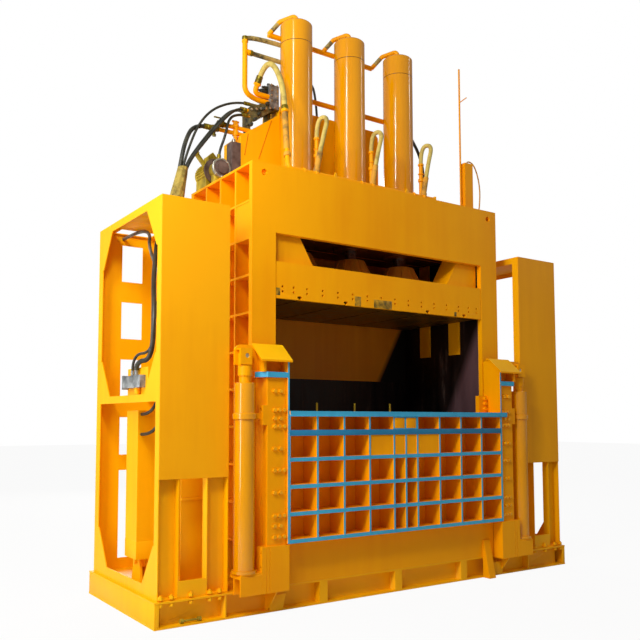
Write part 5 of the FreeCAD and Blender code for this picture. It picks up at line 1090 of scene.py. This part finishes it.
# %% Deck lugs, clamp and gussets
DECK = highest("crosshead").z - 1
lugs = bmesh.new()
for across in (-543, 285):
    cut_plate(lugs, [(across - 34, DECK), (across + 34, DECK), (across + 6, DECK + 70),
                     (across - 6, DECK + 70)], -548, 10)
slab(lugs, (636, -548, DECK), (654, -500, DECK + 54))
for side in (-1, 1):
    cut_plate(lugs, [(side * 1303, 2), (side * 1187, 2), (side * 1157, 126), (side * 1303, 126)], -708, 8)

# %% Tower plates and column skirts
TOWER_LOW, TOWER_HIGH = lowest("tower_right"), highest("tower_right")
ROOF_LOW, ROOF_HIGH = TOWER_HIGH.z - 20, TOWER_HIGH.z - 12
ROOF_INNER, ROOF_OUTER = TOWER_LOW.x + 9, TOWER_HIGH.x - 9
ROOF_FRONT, ROOF_BACK = -664, 420
HOSE_HOLE = (-1975, -100, -1755, 130)  # left, front, right and back edge of the hole in the left roof
COLUMN_LOW, COLUMN_HIGH = lowest("tower_column_right"), highest("tower_column_right")

left_hole, front_hole, right_hole, back_hole = HOSE_HOLE
for start, front, end, back in ((-ROOF_OUTER, ROOF_FRONT, -ROOF_INNER, front_hole),
                                (-ROOF_OUTER, back_hole, -ROOF_INNER, ROOF_BACK),
                                (-ROOF_OUTER, front_hole, left_hole, back_hole),
                                (right_hole, front_hole, -ROOF_INNER, back_hole),
                                (ROOF_INNER, ROOF_FRONT, ROOF_OUTER, ROOF_BACK)):
    slab(lugs, (start, front, ROOF_LOW), (end, back, ROOF_HIGH), 1)
slab_pair(lugs, (1690, -440, 200), (1930, -432, 1036), 1)
slab_pair(lugs, (1690, -452, 860), (1930, -440, 882), 1)
slab_pair(lugs, (COLUMN_LOW.x - 2, COLUMN_LOW.y - 2, 372), (COLUMN_HIGH.x + 2, COLUMN_HIGH.y + 2, 512))

# %% Base ends and foot bolts
BASE_END = highest("base_skid").x - 1
BOLT_PLACES = (2192, 2108, 1956, 1806, 1724)
BOLT_Y = -684

slab_pair(lugs, (BASE_END - 7, -698, 14), (BASE_END, 698, 176), 1)
slab_pair(lugs, (BASE_END - 37, -700, 14), (BASE_END, -692, 176), 1)
for side in (-1, 1):
    for across in BOLT_PLACES:
        hexagon(lugs, (side * across, BOLT_Y, 200), (0, 0, 1), 34, 22)
        turned(lugs, (side * across, BOLT_Y, 220), (0, 0, 1), [(0, 0), (11, 0), (11, 12), (0, 14)], 12)
        hexagon(lugs, (side * across, BOLT_Y, 172), (0, 0, -1), 34, 22)
finish_group("lugs_and_gussets", lugs, sunlit_paint, "machine_paint")

# %% [markdown]
# The light is a pale room with tall windows. Area lamps stand for them: the key window at the left front
# lights the sides that face it and fades across the front and towards the floor, and a wide one behind keeps
# the back from going dull. Point lamps would draw dots in the round cylinders; slim tall windows at the left
# and the right draw the upright streaks that show how glossy they are.

# %% Windows
def window(name, place, target, size, power, colour="#FFFFFF"):
    """A rectangular lamp of so many watts that looks at a target and that the camera doesn't see."""
    lamp = bpy.data.lights.new(name, "AREA")
    lamp.shape = "RECTANGLE"
    lamp.size, lamp.size_y = size
    lamp.energy = power
    lamp.color = light(colour)[:3]
    obj = bpy.data.objects.new(name, lamp)
    obj.location = place
    obj.rotation_euler = (Vector(target) - Vector(place)).to_track_quat("-Z", "Y").to_euler()
    obj.visible_camera = False
    bpy.context.scene.collection.objects.link(obj)


window("key_window", (-3.7, -2.9, 4.8), (-0.6, 0, 2.5), (0.8, 0.8), 94, "#FFFEFA")
window("left_front_strip", (-6.0, -1.8, 3.0), (-0.6, 0, 2.0), (0.9, 5.0), 104)
window("tall_streak", (-7.2, -3.6, 7.8), (-0.3, 0, 4.4), (0.34, 5.4), 255)
window("left_rear_strip", (-6.2, 2.0, 2.8), (-0.6, 0, 2.0), (0.5, 5.0), 120)
window("right_streak", (7.2, -3.2, 7.4), (0.6, 0, 4.4), (0.22, 5.4), 60)
window("rear_window", (2.5, 9.0, 4.5), (0, 0, 2.5), (5.0, 5.0), 430)
print("windows", len(bpy.data.lights))

# %% [markdown]
# The room itself is the world's light. It shows white to the camera but shines with only a quarter of that
# on the machine, so that the enamel keeps its colour. Light Path tells the rays apart, and a mirrored ray
# sees a room in between, so that the metal isn't black.

# %% Room
ROOM_LEVEL = 0.245
MIRRORED_SHARE = 0.15

world = bpy.data.worlds.new("pale_room")
world.use_nodes = True
bpy.context.scene.world = world
ray = add(world, "ShaderNodeLightPath")
mirrored = add(world, "ShaderNodeMath", {"operation": "MULTIPLY"},
               {0: ray.outputs["Is Glossy Ray"], 1: MIRRORED_SHARE})
seen = add(world, "ShaderNodeMath", {"operation": "MAXIMUM"},
           {0: ray.outputs["Is Camera Ray"], 1: mirrored.outputs[0]})
level = add(world, "ShaderNodeMapRange", None,
            {"Value": seen.outputs[0], "To Min": ROOM_LEVEL, "To Max": 1.0})
tint = add(world, "ShaderNodeMix", {"data_type": "RGBA"},
           {0: ray.outputs["Is Camera Ray"], 6: light("#FFFAF2"), 7: light("#FFFFFF")})
wire(world, world.node_tree.nodes["Background"],
     {"Color": tint.outputs[2], "Strength": level.outputs["Result"]})
print("room level", ROOM_LEVEL)

# %% [markdown]
# The floor is a plain pale slab. A lit floor would come out grey at the back, so most of what the camera
# sees of it glows white, and the small rest is its real surface, which keeps the machine's soft shadow and
# throws a little light back up.

# %% Floor
FLOOR_HALF = 40  # metres
GLOW_SHARE = 0.94

mesh = bpy.data.meshes.new("floor")
shape = bmesh.new()
bmesh.ops.create_grid(shape, x_segments=1, y_segments=1, size=FLOOR_HALF)
shape.to_mesh(mesh)
shape.free()
floor = bpy.data.objects.new("floor", mesh)
bpy.context.scene.collection.objects.link(floor)
pale_floor, surface, _ = new_material("pale_floor")
wire(pale_floor, surface, {"Base Color": light("#D8D6D0"), "Roughness": 0.8})
glow = add(pale_floor, "ShaderNodeEmission", None, {"Color": light("#FFFFFF"), "Strength": 1.0})
ray = add(pale_floor, "ShaderNodeLightPath")
share = add(pale_floor, "ShaderNodeMath", {"operation": "MULTIPLY"},
            {0: ray.outputs["Is Camera Ray"], 1: GLOW_SHARE})
mixed = add(pale_floor, "ShaderNodeMixShader", None,
            {0: share.outputs[0], 1: surface.outputs[0], 2: glow.outputs[0]})
wire(pale_floor, pale_floor.node_tree.nodes["Material Output"], {"Surface": mixed.outputs[0]})
dress(floor, pale_floor)
print("floor", 2 * FLOOR_HALF, "m wide")
